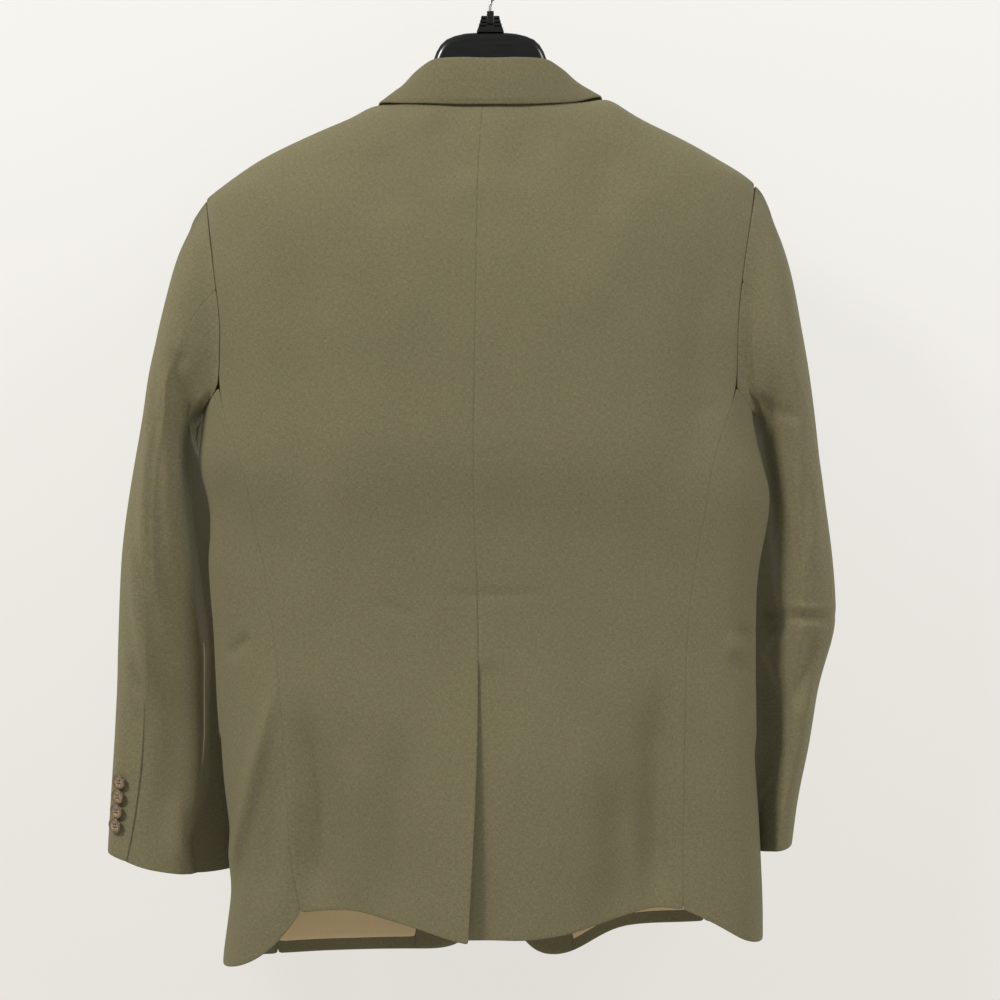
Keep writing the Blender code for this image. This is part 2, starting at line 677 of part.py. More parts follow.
def make_front(side, colour):
    """One front, from the shoulder, armhole and side seam to its front edge."""
    points = front_grid(
        side,
        lambda z: front_start(side, z),
        lambda z: front_end(side, z),
        FRONT_COLUMNS,
        lambda columns, bottoms: upper_heights(side, bottoms, columns),
        lambda x: front_hem(side, x),
    )
    normals = grid_normals(points, -side)
    name = "front_left" if side < 0 else "front_right"
    outer = pull_back(points[1:-1, 1:-1], SEAM)
    wall(name, outer, normals, CLOTH, colour)
    return outer, normals


def shorten(points, amount):
    """Raise the lowest row of a grid along the cloth."""
    out = points.copy()
    step = points[-2] - points[-1]
    size = np.linalg.norm(step, axis=1, keepdims=True)
    out[-1] = points[-1] + step / size * np.minimum(amount, size * 0.8)
    return out


def make_inside(side, front, cloth_colour, lining_colour):
    """Facing behind the front edge and lining from there to the side seam."""
    outer, normals = front
    word = "left" if side < 0 else "right"
    inner = outer - normals * (CLOTH + LAYER)
    split = FRONT_COLUMNS - FACING_COLUMNS
    top = SHOULDER_ROWS + 2
    facing = shorten(inner[top:, split:], 0.0015)
    facing_normals = normals[top:, split:]
    facing = pull_back(facing, SEAM * 2.0)
    wall("facing_" + word, facing, facing_normals, LINING_WALL, cloth_colour)
    top = SHOULDER_ROWS + ARM_ROWS - 3
    lining = shorten(inner[top:, :split + 1], 0.0120)
    lining_normals = normals[top:, :split + 1]
    lining = pull_back(lining, SEAM * 2.0)
    wall("lining_front_" + word, lining, lining_normals, LINING_WALL, lining_colour, 0.55)


def make_lapel(side, colour):
    """Lapel, folded out along the roll line and lying on the front."""
    rows, columns = 14, 5
    grid = []
    for k in range(-1, rows + 2):
        t = k / rows
        roll_z = -0.2290 + (LAPEL_END[side] + 0.2290) * t
        x0 = edge_x(side, roll_z)
        width = read(LAPEL, LAPEL_NAMES, "width", roll_z)
        drop = read(LAPEL, LAPEL_NAMES, "drop", roll_z)
        lift = read(LAPEL, LAPEL_NAMES, "lift", roll_z)
        line = []
        for c in range(-1, columns + 2):
            s = c / columns
            x = x0 + side * width * s
            z = roll_z + (drop - width * 0.22) * s
            angle = angle_at(x, z, True)
            base = front_point(side, angle, z)
            up = front_point(side, angle, z, -1.0) - base
            up = up / np.linalg.norm(up)
            roll = 0.0035 * math.exp(-(max(s, 0.0) / 0.3) ** 2)
            line.append(base + up * (CLOTH + LAYER + lift * 0.5 + roll))
        grid.append(line)
    points = np.array(grid)
    normals = grid_normals(points, -side)
    flip = -1.0 if float(np.mean(normals[..., 1])) < 0 else 1.0
    name = "lapel_left" if side < 0 else "lapel_right"
    return wall(name, pull_back(points[1:-1, 1:-1], SEAM), normals * flip, CLOTH, colour)


def collar_stations(side):
    """Base, fold and edge points of the collar, from the centre back round to the lapel."""
    half = []
    for xb, yb, zb, xf, yf, zf, xe, ze in COLLAR_BACK:
        on_back = body_point(angle_at(side * xe, ze), ze)
        half.append([np.array((side * xb, yb, zb)), np.array((side * xf, yf, zf)),
                     np.array((side * xe, on_back[1] - 0.0035, ze))])
    for row in COLLAR_SIDE:
        points = [np.array(row[k:k + 3]) for k in (0, 3, 6)]
        for point in points:
            point[0] *= side
        half.append(points)
    for z, xe, ze in COLLAR_FRONT:
        x = edge_x(side, z)
        roll = front_point(side, angle_at(x, z, True), z)
        far = front_point(side, angle_at(side * xe, ze, True), ze)
        half.append([np.array((x - side * 0.0045, roll[1] - 0.0080, z - 0.002)),
                     np.array((x - side * 0.0040, roll[1] + 0.0058, z)),
                     np.array((side * xe, far[1] + 0.0058, ze))])
    return half


def make_collar(colour):
    """Collar: the stand rises from the neck seam and the fall turns down over it."""
    stations = collar_stations(-1)[::-1] + collar_stations(1)[1:]
    fine = []
    for i in range(len(stations) - 1):
        fine.append(stations[i])
        fine.append([(a + b) / 2.0 for a, b in zip(stations[i], stations[i + 1])])
    fine.append(stations[-1])
    half = CLOTH * 0.45
    gap = 0.0008
    rings = []
    for base, fold, edge in fine:
        rise = fold - base
        fall = edge - fold
        up = rise / np.linalg.norm(rise)
        out = fall - up * (fall @ up)
        out = out / np.linalg.norm(out)
        slope = fall / np.linalg.norm(fall)
        face = rise - slope * (rise @ slope)
        face = face / np.linalg.norm(face)
        shift = out * (2.0 * half + gap)
        rings.append([
            base - out * half,
            base + rise * 0.6 - out * half,
            fold - out * half - up * half,
            fold + up * half * 0.7,
            fold + shift + up * half * 0.7,
            fold + shift + out * half - up * half,
            fold + shift + out * half * 0.6 + fall * 0.35 + face * half * 0.4,
            edge + face * half,
            edge - face * half,
            fold + shift - out * half + fall * 0.35,
            fold + shift - out * half - up * half * 2.5,
            fold + out * half - up * half * 2.5,
            base + rise * 0.6 + out * half,
            base + out * half])
    count = len(rings[0])
    verts = [p for ring in rings for p in ring]
    faces = []
    for i in range(len(rings) - 1):
        for k in range(count):
            a = i * count + k
            b = i * count + (k + 1) % count
            faces.append((a, b, b + count, a + count))
    last = (len(rings) - 1) * count
    for start in (0, last):
        for a, b, c, d in ((0, 1, 12, 13), (1, 2, 11, 12), (2, 3, 4, 11), (11, 4, 10, 10),
                           (4, 5, 10, 10), (5, 6, 9, 10), (6, 7, 8, 9)):
            ids = [start + k for k in dict.fromkeys((a, b, c, d))]
            faces.append(tuple(ids))
    return add_object("collar", verts, faces, colour, 0.85)


def armhole_loop(side, side_top):
    """Points round the armhole, from the shoulder tip down the back and up the front."""
    loop = []
    for k in range(ARM_ROWS):
        z = row_height(k, ARM_ROWS, TIP_Z[side], ARMHOLE_Z)
        loop.append(body_point(body_edge("back", side, z), z))
    for point in side_top:
        loop.append(np.array(point))
    for k in range(ARM_ROWS - 1, 0, -1):
        z = row_height(k, ARM_ROWS, TIP_Z[side], ARMHOLE_Z)
        loop.append(body_point(body_edge("front", side, z), z))
    return loop


def ring_angles(share, square, count):
    """Angle of each step round a sleeve section, from the back seam's share across."""
    reach = 1.0 - 2.0 * share
    back = math.acos(math.copysign(abs(reach) ** (square / 2.0), reach))
    front = math.radians(FRONT_SEAM_ANGLE)
    angles = []
    for j in range(count):
        if j <= BACK_SEAM_STEP:
            angles.append(back * j / BACK_SEAM_STEP)
        elif j <= FRONT_SEAM_STEP:
            part = (j - BACK_SEAM_STEP) / (FRONT_SEAM_STEP - BACK_SEAM_STEP)
            angles.append(back + (front - back) * part)
        else:
            part = (j - FRONT_SEAM_STEP) / (count - FRONT_SEAM_STEP)
            angles.append(front + (2.0 * math.pi - front) * part)
    return angles


def sleeve_rings(side, loop):
    """Outer rings of a sleeve, from the armhole to the cuff."""
    count = len(loop)
    top = loop[0]
    low = min(loop, key=lambda p: p[2])
    middle = (top + low) / 2.0
    axis = top - middle
    reach = float(np.linalg.norm(axis))
    axis = axis / reach
    local = []
    for point in loop:
        offset = point - middle
        a = float(offset @ axis) / reach
        b = float(offset[1]) / 0.050
        rest = offset - axis * a * reach - np.array((0.0, b * 0.050, 0.0))
        local.append((a, b, rest))
    table = SLEEVE_LEFT if side < 0 else SLEEVE_RIGHT
    rings = [loop]
    for i, row in enumerate(table):
        size = dict(zip(SLEEVE_NAMES, row))
        outer = np.array((size["xo"], 0.0, size["zo"]))
        inner = np.array((size["xi"], 0.0, size["zi"]))
        centre = (outer + inner) / 2.0
        centre[1] = size["y"]
        span = (outer - inner) / 2.0
        angles = ring_angles(size["seam"], size["square"], count)
        hold = max(0.0, 1.0 - (i + 1) / 5.0)
        hold = hold * hold * (3 - 2 * hold)
        ring = []
        for j, angle in enumerate(angles):
            power = 2.0 / size["square"]
            a = math.copysign(abs(math.cos(angle)) ** power, math.cos(angle))
            b = -math.copysign(abs(math.sin(angle)) ** power, math.sin(angle))
            old_a, old_b, rest = local[j]
            a = a * (1.0 - hold) + old_a * hold
            b = b * (1.0 - hold) + old_b * hold
            deep = b * size["deep"] + size["lean"] * ramp(0.25, -0.85, a)
            point = centre + span * a + np.array((0.0, deep, 0.0))
            drop = CUFF_DROP[side] * (1.0 - a * a) * (1.0 - 0.35 * a)
            drop = drop * ramp(len(table) - 5, len(table) - 1, i)
            ring.append(point + rest * hold - np.array((0.0, 0.0, drop)))
        rings.append(ring)
    return np.array(rings)


def closed_normals(rings, turn):
    """Outward directions of a tube given as rings."""
    ghost_top = rings[:1] * 2.0 - rings[1:2]
    ghost_end = rings[-1:] * 2.0 - rings[-2:-1]
    tall = np.concatenate((ghost_top, rings, ghost_end), axis=0)
    along = tall[2:] - tall[:-2]
    across = np.roll(rings, -1, axis=1) - np.roll(rings, 1, axis=1)
    normal = np.cross(across, along) * turn
    centre = rings.mean(axis=1, keepdims=True)
    if float(np.mean(np.sum(normal * (rings - centre), axis=2))) < 0.0:
        normal = -normal
    return normal / np.maximum(np.linalg.norm(normal, axis=2, keepdims=True), 1e-12)


def make_sleeve(side, loop, colour):
    """Two-piece sleeve: the under sleeve lies between the back and front seams."""
    rings = sleeve_rings(side, loop)
    normals = closed_normals(rings, 1.0)
    word = "left" if side < 0 else "right"
    normals[0] += normals[1]
    normals += np.roll(normals, 1, axis=1) + np.roll(normals, -1, axis=1)
    normals /= np.linalg.norm(normals, axis=2, keepdims=True)
    step = rings[1] - rings[0]
    rings[0] += step / np.linalg.norm(step, axis=1, keepdims=True) * 0.0006
    under = list(range(BACK_SEAM_STEP, FRONT_SEAM_STEP + 1))
    count = rings.shape[1]
    upper = [j % count for j in range(FRONT_SEAM_STEP, count + BACK_SEAM_STEP + 1)]
    made = []
    for name, picks in (("sleeve_under_", under), ("sleeve_top_", upper)):
        outer = pull_back(rings[:, picks], SEAM)
        made.append(wall(name + word, outer, normals[:, picks], CLOTH, colour))
    return rings, normals


def make_patch(name, side, corners, columns, rows, lift, colour):
    """A layer sewn on the body, from its points moved out; corners are angles and heights."""
    (start, top), (end, bottom) = corners
    grid = []
    for k in range(-1, rows + 2):
        z = top + (bottom - top) * k / rows
        line = []
        for c in range(-1, columns + 2):
            angle = start + (end - start) * c / columns
            base = front_point(side, angle, z)
            up = front_point(side, angle, z, -1.0) - base
            up = up / np.linalg.norm(up)
            line.append(base + up * lift)
        grid.append(line)
    points = np.array(grid)
    normals = grid_normals(points, 1.0)
    middle = points[1:-1, 1:-1]
    away = middle - np.array((0.0, -0.01, 0.0))
    away[..., 2] = 0.0
    if float(np.mean(np.sum(normals * away, axis=2))) < 0.0:
        normals = -normals
    return wall(name, middle, normals, CLOTH, colour)


def disc(name, centre, normal, radius, thickness, colour, slide=None):
    """Round button with a raised rim, lying on the cloth."""
    normal = normal / np.linalg.norm(normal)
    helper = np.array((0.0, 0.0, 1.0))
    right = np.cross(normal, helper)
    right = right / np.linalg.norm(right)
    down = np.cross(normal, right)
    if slide is not None:
        tilt = slide
        turned = normal * math.cos(tilt) + down * math.sin(tilt)
        down = down * math.cos(tilt) - normal * math.sin(tilt)
        normal = turned
    profile = ((0.0, 0.0), (radius * 0.86, 0.0), (radius, thickness * 0.40),
               (radius * 0.97, thickness * 0.85), (radius * 0.86, thickness),
               (radius * 0.62, thickness * 0.66), (0.0, thickness * 0.60))
    count = 16
    verts = [centre]
    rings = []
    for r, h in profile[1:-1]:
        ring = []
        for k in range(count):
            a = 2.0 * math.pi * k / count
            ring.append(len(verts))
            verts.append(centre + right * r * math.cos(a) + down * r * math.sin(a) + normal * h)
        rings.append(ring)
    verts.append(centre + normal * profile[-1][1])
    faces = []
    for k in range(count):
        n = (k + 1) % count
        faces.append((0, rings[0][n], rings[0][k]))
        faces.append((len(verts) - 1, rings[-1][k], rings[-1][n]))
        for a, b in zip(rings[:-1], rings[1:]):
            faces.append((a[k], a[n], b[n], b[k]))
    return add_object(name, verts, faces, colour, 0.35)


def make_cuff_buttons(side, rings, normals, colour):
    """Four buttons on the back of each cuff, each riding over the one below."""
    word = "left" if side < 0 else "right"
    step = math.floor(CUFF_STEP[side])
    share = CUFF_STEP[side] - step
    line = rings[:, step] * (1.0 - share) + rings[:, step + 1] * share
    facing = normals[:, step] * (1.0 - share) + normals[:, step + 1] * share
    heights = line[:, 2]
    for i, z in enumerate(CUFF_BUTTONS[side]):
        at = [float(np.interp(-z, -heights, line[:, k])) for k in range(3)]
        face = np.array([float(np.interp(-z, -heights, facing[:, k])) for k in range(3)])
        face = face / np.linalg.norm(face)
        centre = np.array(at) + face * 0.0024
        disc("cuff_button_" + word + "_" + str(i + 1), centre, face,
             BUTTON_RADIUS, BUTTON_WALL, colour, BUTTON_TILT)


def make_front_buttons(colour):
    """Two buttons down the left front's edge."""
    for i, z in enumerate((BUTTON_Z, LOWER_BUTTON_Z)):
        angle = angle_at(0.002, z, True)
        base = front_point(-1, angle, z)
        up = front_point(-1, angle, z, -1.0) - base
        up = up / np.linalg.norm(up)
        disc("front_button_" + str(i + 1), base + up * 0.0012, up,
             FRONT_BUTTON_RADIUS, 0.0028, colour)


def make_hanger_body(colour):
    """Shaped hanger: a humped middle and two sloping shoulders."""
    sections = []
    for side in (-1, 1):
        half = [dict(zip(HANGER_NAMES, row)) for row in HANGER]
        for row in half:
            row["x"] *= side
        sections.append(half)
    order = sections[0][::-1] + sections[1][1:]
    verts = []
    rings = []
    for row in order:
        low = row["top"] - row["tall"]
        middle = (row["top"] + low) / 2.0
        ring = []
        for k in range(HANGER_RING):
            a = 2.0 * math.pi * (k + 0.5) / HANGER_RING
            c = math.copysign(abs(math.cos(a)) ** 0.55, math.cos(a))
            s = math.copysign(abs(math.sin(a)) ** 0.55, math.sin(a))
            ring.append(len(verts))
            verts.append(np.array((row["x"], row["half"] * c, middle + row["tall"] / 2.0 * s)))
        rings.append(ring)
    faces = []
    for a, b in zip(rings[:-1], rings[1:]):
        for k in range(HANGER_RING):
            n = (k + 1) % HANGER_RING
            faces.append((a[k], b[k], b[n], a[n]))
    faces.append(tuple(rings[0]))
    faces.append(tuple(reversed(rings[-1])))
    return add_object("hanger_body", verts, faces, colour, 0.3)


def make_hanger_neck(colour):
    """Ribbed neck above the hump, bored for the hook."""
    count = 20
    verts = []
    rings = []
    profile = [(NECK_PROFILE[0][0] - 0.0014, NECK_PROFILE[0][1] - 0.0001)]
    profile += list(NECK_PROFILE)
    for x, z in profile:
        ring = []
        deep = min(x, 0.0075)
        for k in range(count):
            a = 2.0 * math.pi * k / count
            ring.append(len(verts))
            verts.append(np.array((x * math.cos(a), deep * math.sin(a), z)))
        rings.append(ring)
    for z in (profile[-1][1], profile[0][1]):
        ring = []
        for k in range(count):
            a = 2.0 * math.pi * k / count
            ring.append(len(verts))
            verts.append(np.array((BORE * math.cos(a), BORE * math.sin(a), z)))
        rings.append(ring)
    faces = []
    for i in range(len(rings)):
        a = rings[i]
        b = rings[(i + 1) % len(rings)]
        for k in range(count):
            n = (k + 1) % count
            faces.append((a[k], a[n], b[n], b[k]))
    return add_object("hanger_neck", verts, faces, colour, 0.3)


def make_hook(colour):
    """Wire hook: straight stem, side bend and the ring that takes the rod."""
    ring = HOOK_RING + HOOK_WIRE
    middle = np.array((0.0, HOOK_WIRE - ring))
    path = [(0.0, -0.0610), (0.0, -0.0500), (0.0, -0.0345)]
    path += [(0.0012, -0.0318), (0.0048, -0.0296), (0.0100, -0.0284), (0.0146, -0.0274)]
    for degrees in range(-22, 194, 12):
        a = math.radians(degrees)
        path.append((middle[0] + ring * math.cos(a), middle[1] + ring * math.sin(a)))
    path = np.array(path)
    count = 10
    verts = []
    rings = []
    for i, (x, z) in enumerate(path):
        before = path[max(i - 1, 0)]
        after = path[min(i + 1, len(path) - 1)]
        run = after - before
        run = run / np.linalg.norm(run)
        side = np.array((run[1], 0.0, -run[0]))
        line = []
        for k in range(count):
            a = 2.0 * math.pi * k / count
            off = side * math.cos(a) + np.array((0.0, 1.0, 0.0)) * math.sin(a)
            line.append(len(verts))
            verts.append(np.array((x, 0.0, z)) + off * HOOK_WIRE)
        rings.append(line)
    faces = []
    for a, b in zip(rings[:-1], rings[1:]):
        for k in range(count):
            n = (k + 1) % count
            faces.append((a[k], a[n], b[n], b[k]))
    faces.append(tuple(rings[0]))
    faces.append(tuple(reversed(rings[-1])))
    return add_object("hanger_hook", verts, faces, colour, 0.25, 1.0)


def main():
    """Build every piece."""
    start_empty()
    olive = (0.17, 0.155, 0.085)
    tan = (0.43, 0.33, 0.18)
    horn = (0.16, 0.09, 0.045)
    black = (0.012, 0.012, 0.014)
    chrome = (0.72, 0.72, 0.72)
    for side in (-1, 1):
        make_back(side, olive)
        side_object, side_top = make_side(side, olive)
        front = make_front(side, olive)
        make_inside(side, front, olive, tan)
        make_lapel(side, olive)
        loop = armhole_loop(side, side_top)
        rings, normals = make_sleeve(side, loop, olive)
        make_cuff_buttons(side, rings, normals, horn)
        word = "left" if side < 0 else "right"
        start = angle_at(side * 0.106, -0.72, True)
        end = side * FLAP_END
        make_patch("pocket_flap_" + word, side, ((start, -0.6925), (end, -0.7445)),
                   8, 2, CLOTH + LAYER + 0.0014, olive)
    make_patch("breast_welt", -1,
               ((angle_at(-0.075, -0.37, True), -0.352),
                (angle_at(-0.168, -0.37, True), -0.374)), 4, 1,
               CLOTH + LAYER, olive)
    make_collar(olive)
    make_front_buttons(horn)
    make_hanger_body(black)
    make_hanger_neck(black)
    make_hook(chrome)


main()
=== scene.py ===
"""Looks of the sport coat on its hanger: its pieces, their finishes, the light and the camera.

Metres, +Z up. The back of the coat faces -Y, the front +Y, the wearer's left is -X.
"""
import math

import bmesh
import bpy
import numpy as np
from mathutils import Matrix, Vector
from mathutils.bvhtree import BVHTree


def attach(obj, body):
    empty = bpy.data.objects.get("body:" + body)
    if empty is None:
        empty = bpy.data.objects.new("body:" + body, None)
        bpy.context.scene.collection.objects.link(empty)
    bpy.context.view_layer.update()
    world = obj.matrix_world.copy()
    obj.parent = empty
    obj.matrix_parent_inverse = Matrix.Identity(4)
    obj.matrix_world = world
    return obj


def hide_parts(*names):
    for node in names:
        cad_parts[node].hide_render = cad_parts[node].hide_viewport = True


# camera and room
LENS = 73.5               # millimetres, for a sensor 36 mm wide
CAMERA_PLACE = (0.0093, -1.9700, -0.5142)
WALL_Y = 0.135
FLOOR_Z = -1.300
ROOM_HALF = 4.0           # half the width of the wall and of the floor
COAT_MIDDLE = (0.0, 0.0, -0.50)
COAT_FOOT = (0.0, 0.0, -0.8)

# lamps: name, place, target, size in metres, power in watts, tint
WARM = (1.0, 0.985, 0.955)
LAMPS = (
    ("key_light", (-2.3, -1.7, 1.6), COAT_MIDDLE, 0.8, 100.0, WARM),
    ("fill_light", (2.4, -1.6, 1.2), COAT_MIDDLE, 1.2, 54.0, (1.0, 1.0, 1.0)),
    ("low_light", (0.2, -2.4, -1.1), COAT_FOOT, 0.7, 3.6, WARM),
    ("front_light", (0.9, 2.6, 0.8), COAT_MIDDLE, 2.0, 26.0, (1.0, 0.99, 0.97)),
)
SKY_TINT = (0.94, 0.94, 0.93, 1.0)
SKY_STRENGTH = 0.26

# colours
# glow of the wall from bottom to top: painted shade, darker towards the bottom as if lit from
# above
WALL_GLOW_SHADED_LOW = (0.695, 0.672, 0.632)
WALL_GLOW_LIT_HIGH = (0.770, 0.758, 0.724)
FLOOR_GLOW = (0.450, 0.438, 0.416)
CLOTH_DARK = (0.135, 0.119, 0.064)
CLOTH_TONE = (0.172, 0.153, 0.084)
CLOTH_LIGHT = (0.215, 0.194, 0.112)
LINING_DARK = (0.610, 0.455, 0.235)
LINING_LIGHT = (0.740, 0.570, 0.325)

# cloth
THREADS = 1500.0          # threads per metre of the weave
TWILL_LINES = 2200.0      # lines per metre of the lining's twill
HEM_TURN = 0.038          # depth of the turned-up hem inside
CUFF_TURN = 0.030         # the same at a cuff
HEM_STEP = 0.004          # step across at which the lowest edge is looked for
SLEEVE_RADIUS = 0.055     # radius at which the threads of a sleeve are laid out

SHARP = math.radians(42.0)  # faces that meet at more than this are held apart
HOLD = 0.48               # how firmly the rims of the cloth are held while it is refined
LET_OUT = 0.00022         # rims are let out this far, so that sewn pieces meet

# the body as a level ellipse, which tells the outward direction
BODY_HALF_WIDTH = 0.26
BODY_HALF_DEPTH = 0.075
BODY_MIDDLE_Y = -0.010

# heights at which the middle line of a sleeve is taken: first, last, step
SLEEVE_BANDS = (-0.855, -0.235, 0.020)
BAND_HALF = 0.022         # half the height of the band looked at there

# moves beside the creases: the middle and width of each, then how far
NECK_X = (0.115, 0.028)
NECK_RISE = 0.0065        # the right end of the collar stands this much higher
SHOULDER_X = (0.113, 0.015)
SHOULDER_RISE = 0.0040
UNDER_ARM_Z = (-0.506, 0.034)
UNDER_ARM_IN = 0.0065     # the left side is drawn in below the arm
ARM_PIT_Z = (-0.443, 0.022)
ARM_PIT_X = (0.246, 0.016)
ARM_PIT_IN = 0.0060       # the right sleeve is drawn towards the body below the arm

# creases: half-width on each side of the line, height (+ ridge, - trough), path of (x, z)
CREASE_NAMES = ("left", "right", "height", "path")
BACK_CREASES = (
    (0.0050, 0.0040, -0.0011, ((-0.0556, -0.5995), (-0.0139, -0.6032), (0.0650, -0.6004))),
    (0.0070, 0.0050, -0.0012, ((-0.1094, -0.6060), (-0.0649, -0.6264))),
    (0.0090, 0.0090, -0.0015, ((0.2176, -0.4240), (0.1888, -0.4333))),
    (0.0180, 0.0110, -0.0082, ((-0.1780, -0.6900), (-0.1628, -0.7960), (-0.1628, -0.9150))),
    (0.0180, 0.0130, -0.0038, ((-0.0828, -0.7160), (-0.0856, -0.8555), (-0.0883, -0.9200))),
    (0.0120, 0.0120, 0.0028, ((-0.1250, -0.7300), (-0.1240, -0.8300), (-0.1230, -0.9150))),
    (0.0180, 0.0120, -0.0079, ((0.1605, -0.6706), (0.1575, -0.8108), (0.1605, -0.9150))),
    (0.0150, 0.0150, 0.0033, ((0.0850, -0.7000), (0.0900, -0.8200), (0.0950, -0.9150))),
    (0.0140, 0.0110, -0.0033, ((0.1220, -0.7600), (0.1200, -0.8400), (0.1220, -0.9150))),
    (0.0085, 0.0060, 0.0078, ((-0.2000, -0.6700), (-0.2061, -0.7069), (-0.2136, -0.7428),
                              (-0.2226, -0.7758), (-0.2288, -0.8032), (-0.2413, -0.8514),
                              (-0.2520, -0.9000))),
    (0.0150, 0.0120, -0.0046, ((-0.2000, -0.7400), (-0.2040, -0.8200), (-0.2100, -0.9100))),
    (0.0060, 0.0060, -0.0033, ((-0.2259, -0.6408), (-0.2495, -0.6644))),
    (0.0060, 0.0060, -0.0041, ((0.2306, -0.6338), (0.2524, -0.6471))),
    (0.0070, 0.0070, -0.0028, ((0.2268, -0.6623), (0.2462, -0.6746))),
    (0.0100, 0.0090, 0.0028, ((0.2200, -0.6460), (0.2440, -0.6600))),
    (0.0240, 0.0260, -0.0064, ((-0.1950, -0.2500), (-0.1800, -0.4200), (-0.1650, -0.5500))),
    (0.0280, 0.0280, 0.0044, ((-0.1560, -0.1900), (-0.1080, -0.2800), (-0.0520, -0.3750))),
    (0.0260, 0.0260, 0.0036, ((0.1650, -0.1850), (0.1180, -0.2750), (0.0700, -0.3700))),
    (0.0240, 0.0240, -0.0046, ((-0.0561, -0.1449), (-0.0141, -0.2250))),
    (0.0240, 0.0240, -0.0038, ((0.0600, -0.1449), (0.0170, -0.2250))),
    (0.0260, 0.0200, -0.0056, ((0.2050, -0.2500), (0.1960, -0.3800), (0.1850, -0.5400))),
    (0.0200, 0.0200, -0.0031, ((-0.1050, -0.1750), (-0.0900, -0.2600))),
    (0.0200, 0.0200, -0.0028, ((0.1120, -0.1750), (0.1000, -0.2600))),
)
FRONT_CREASES = (
    (0.018, 0.014, -0.0026, ((-0.1500, -0.7600), (-0.1420, -0.8500), (-0.1400, -0.9300))),
    (0.016, 0.016, -0.0024, ((0.1450, -0.7500), (0.1380, -0.8500), (0.1350, -0.9300))),
    (0.012, 0.012, -0.0018, ((0.0250, -0.6050), (0.0900, -0.6250), (0.1500, -0.6200))),
    (0.012, 0.012, -0.0018, ((-0.1550, -0.6250), (-0.0900, -0.6150), (-0.0300, -0.6050))),
    (0.020, 0.020, -0.0022, ((0.1800, -0.2500), (0.1720, -0.3800), (0.1600, -0.5000))),
    (0.020, 0.020, -0.0022, ((-0.1900, -0.2700), (-0.1760, -0.4000), (-0.1620, -0.5200))),
)
SLEEVE_BACK_CREASES = {
    "left": (
        (0.0075, 0.0055, 0.0058, ((-0.3190, -0.3600), (-0.3190, -0.3885), (-0.3204, -0.4334),
                                  (-0.3251, -0.4934), (-0.3265, -0.5444), (-0.3235, -0.5746),
                                  (-0.3100, -0.6016), (-0.2949, -0.6162))),
        (0.0075, 0.0055, 0.0056, ((-0.3404, -0.5384), (-0.3373, -0.5749), (-0.3328, -0.6205),
                                  (-0.3283, -0.6566), (-0.3176, -0.6927), (-0.3088, -0.7136))),
        (0.0060, 0.0060, -0.0022, ((-0.3090, -0.4500), (-0.3120, -0.5200), (-0.3060, -0.5700))),
        (0.0080, 0.0080, -0.0022, ((-0.3230, -0.6000), (-0.3160, -0.6400), (-0.3020, -0.6800))),
        (0.0080, 0.0060, 0.0028, ((-0.3480, -0.6500), (-0.3400, -0.6950), (-0.3260, -0.7200))),
        (0.0140, 0.0050, 0.0078, ((-0.3040, -0.3300), (-0.3020, -0.4500), (-0.2975, -0.5200),
                                  (-0.2915, -0.5900), (-0.2840, -0.6600), (-0.2835, -0.7400),
                                  (-0.2860, -0.8000), (-0.2950, -0.8400), (-0.2950, -0.9600))),
        (0.0110, 0.0050, 0.0030, ((-0.3000, -0.7900), (-0.2970, -0.8300), (-0.2930, -0.8700))),
        (0.0090, 0.0070, -0.0030, ((-0.2890, -0.3700), (-0.2960, -0.3950), (-0.2900, -0.4200))),
    ),
    "right": (
        (0.0040, 0.0110, 0.0034, ((0.3400, -0.6160), (0.3159, -0.6180), (0.2680, -0.6150))),
        (0.0110, 0.0036, -0.0060, ((0.3400, -0.6262), (0.3159, -0.6280), (0.2640, -0.6262))),
        (0.0080, 0.0060, -0.0048, ((0.2860, -0.6100), (0.2780, -0.6268), (0.2820, -0.6480))),
        (0.0090, 0.0090, -0.0058, ((0.3140, -0.6350), (0.3000, -0.6700), (0.2850, -0.7200))),
        (0.0090, 0.0090, 0.0032, ((0.3180, -0.6500), (0.3040, -0.7000), (0.2900, -0.7900))),
        (0.0060, 0.0060, -0.0036, ((0.2410, -0.4116), (0.2619, -0.4225), (0.2951, -0.4411))),
        (0.0070, 0.0060, 0.0034, ((0.2435, -0.4230), (0.2752, -0.4520))),
        (0.0090, 0.0090, 0.0030, ((0.3100, -0.4700), (0.3090, -0.5300), (0.3040, -0.5900))),
        (0.0070, 0.0070, -0.0026, ((0.2980, -0.4900), (0.2990, -0.5400), (0.2930, -0.5900))),
        (0.0060, 0.0150, 0.0080, ((0.2560, -0.3700), (0.2700, -0.4550), (0.2790, -0.5200),
                                  (0.2830, -0.5900), (0.2870, -0.6400), (0.2890, -0.7100),
                                  (0.2890, -0.7500), (0.2800, -0.8100), (0.2780, -0.9500))),
        (0.0100, 0.0140, 0.0070, ((0.2620, -0.7600), (0.2620, -0.8200), (0.2620, -0.9300))),
    ),
}
SLEEVE_FRONT_CREASES = {
    "left": (
        (0.0080, 0.0080, -0.0024, ((-0.3400, -0.6000), (-0.3200, -0.6080), (-0.2980, -0.6020))),
        (0.0080, 0.0080, 0.0018, ((-0.3180, -0.4200), (-0.3230, -0.5200), (-0.3200, -0.5800))),
    ),
    "right": (
        (0.0080, 0.0080, -0.0026, ((0.2750, -0.6180), (0.2950, -0.6260), (0.3200, -0.6200))),
        (0.0080, 0.0080, 0.0018, ((0.2900, -0.4400), (0.3020, -0.5300), (0.3000, -0.5900))),
    ),
}

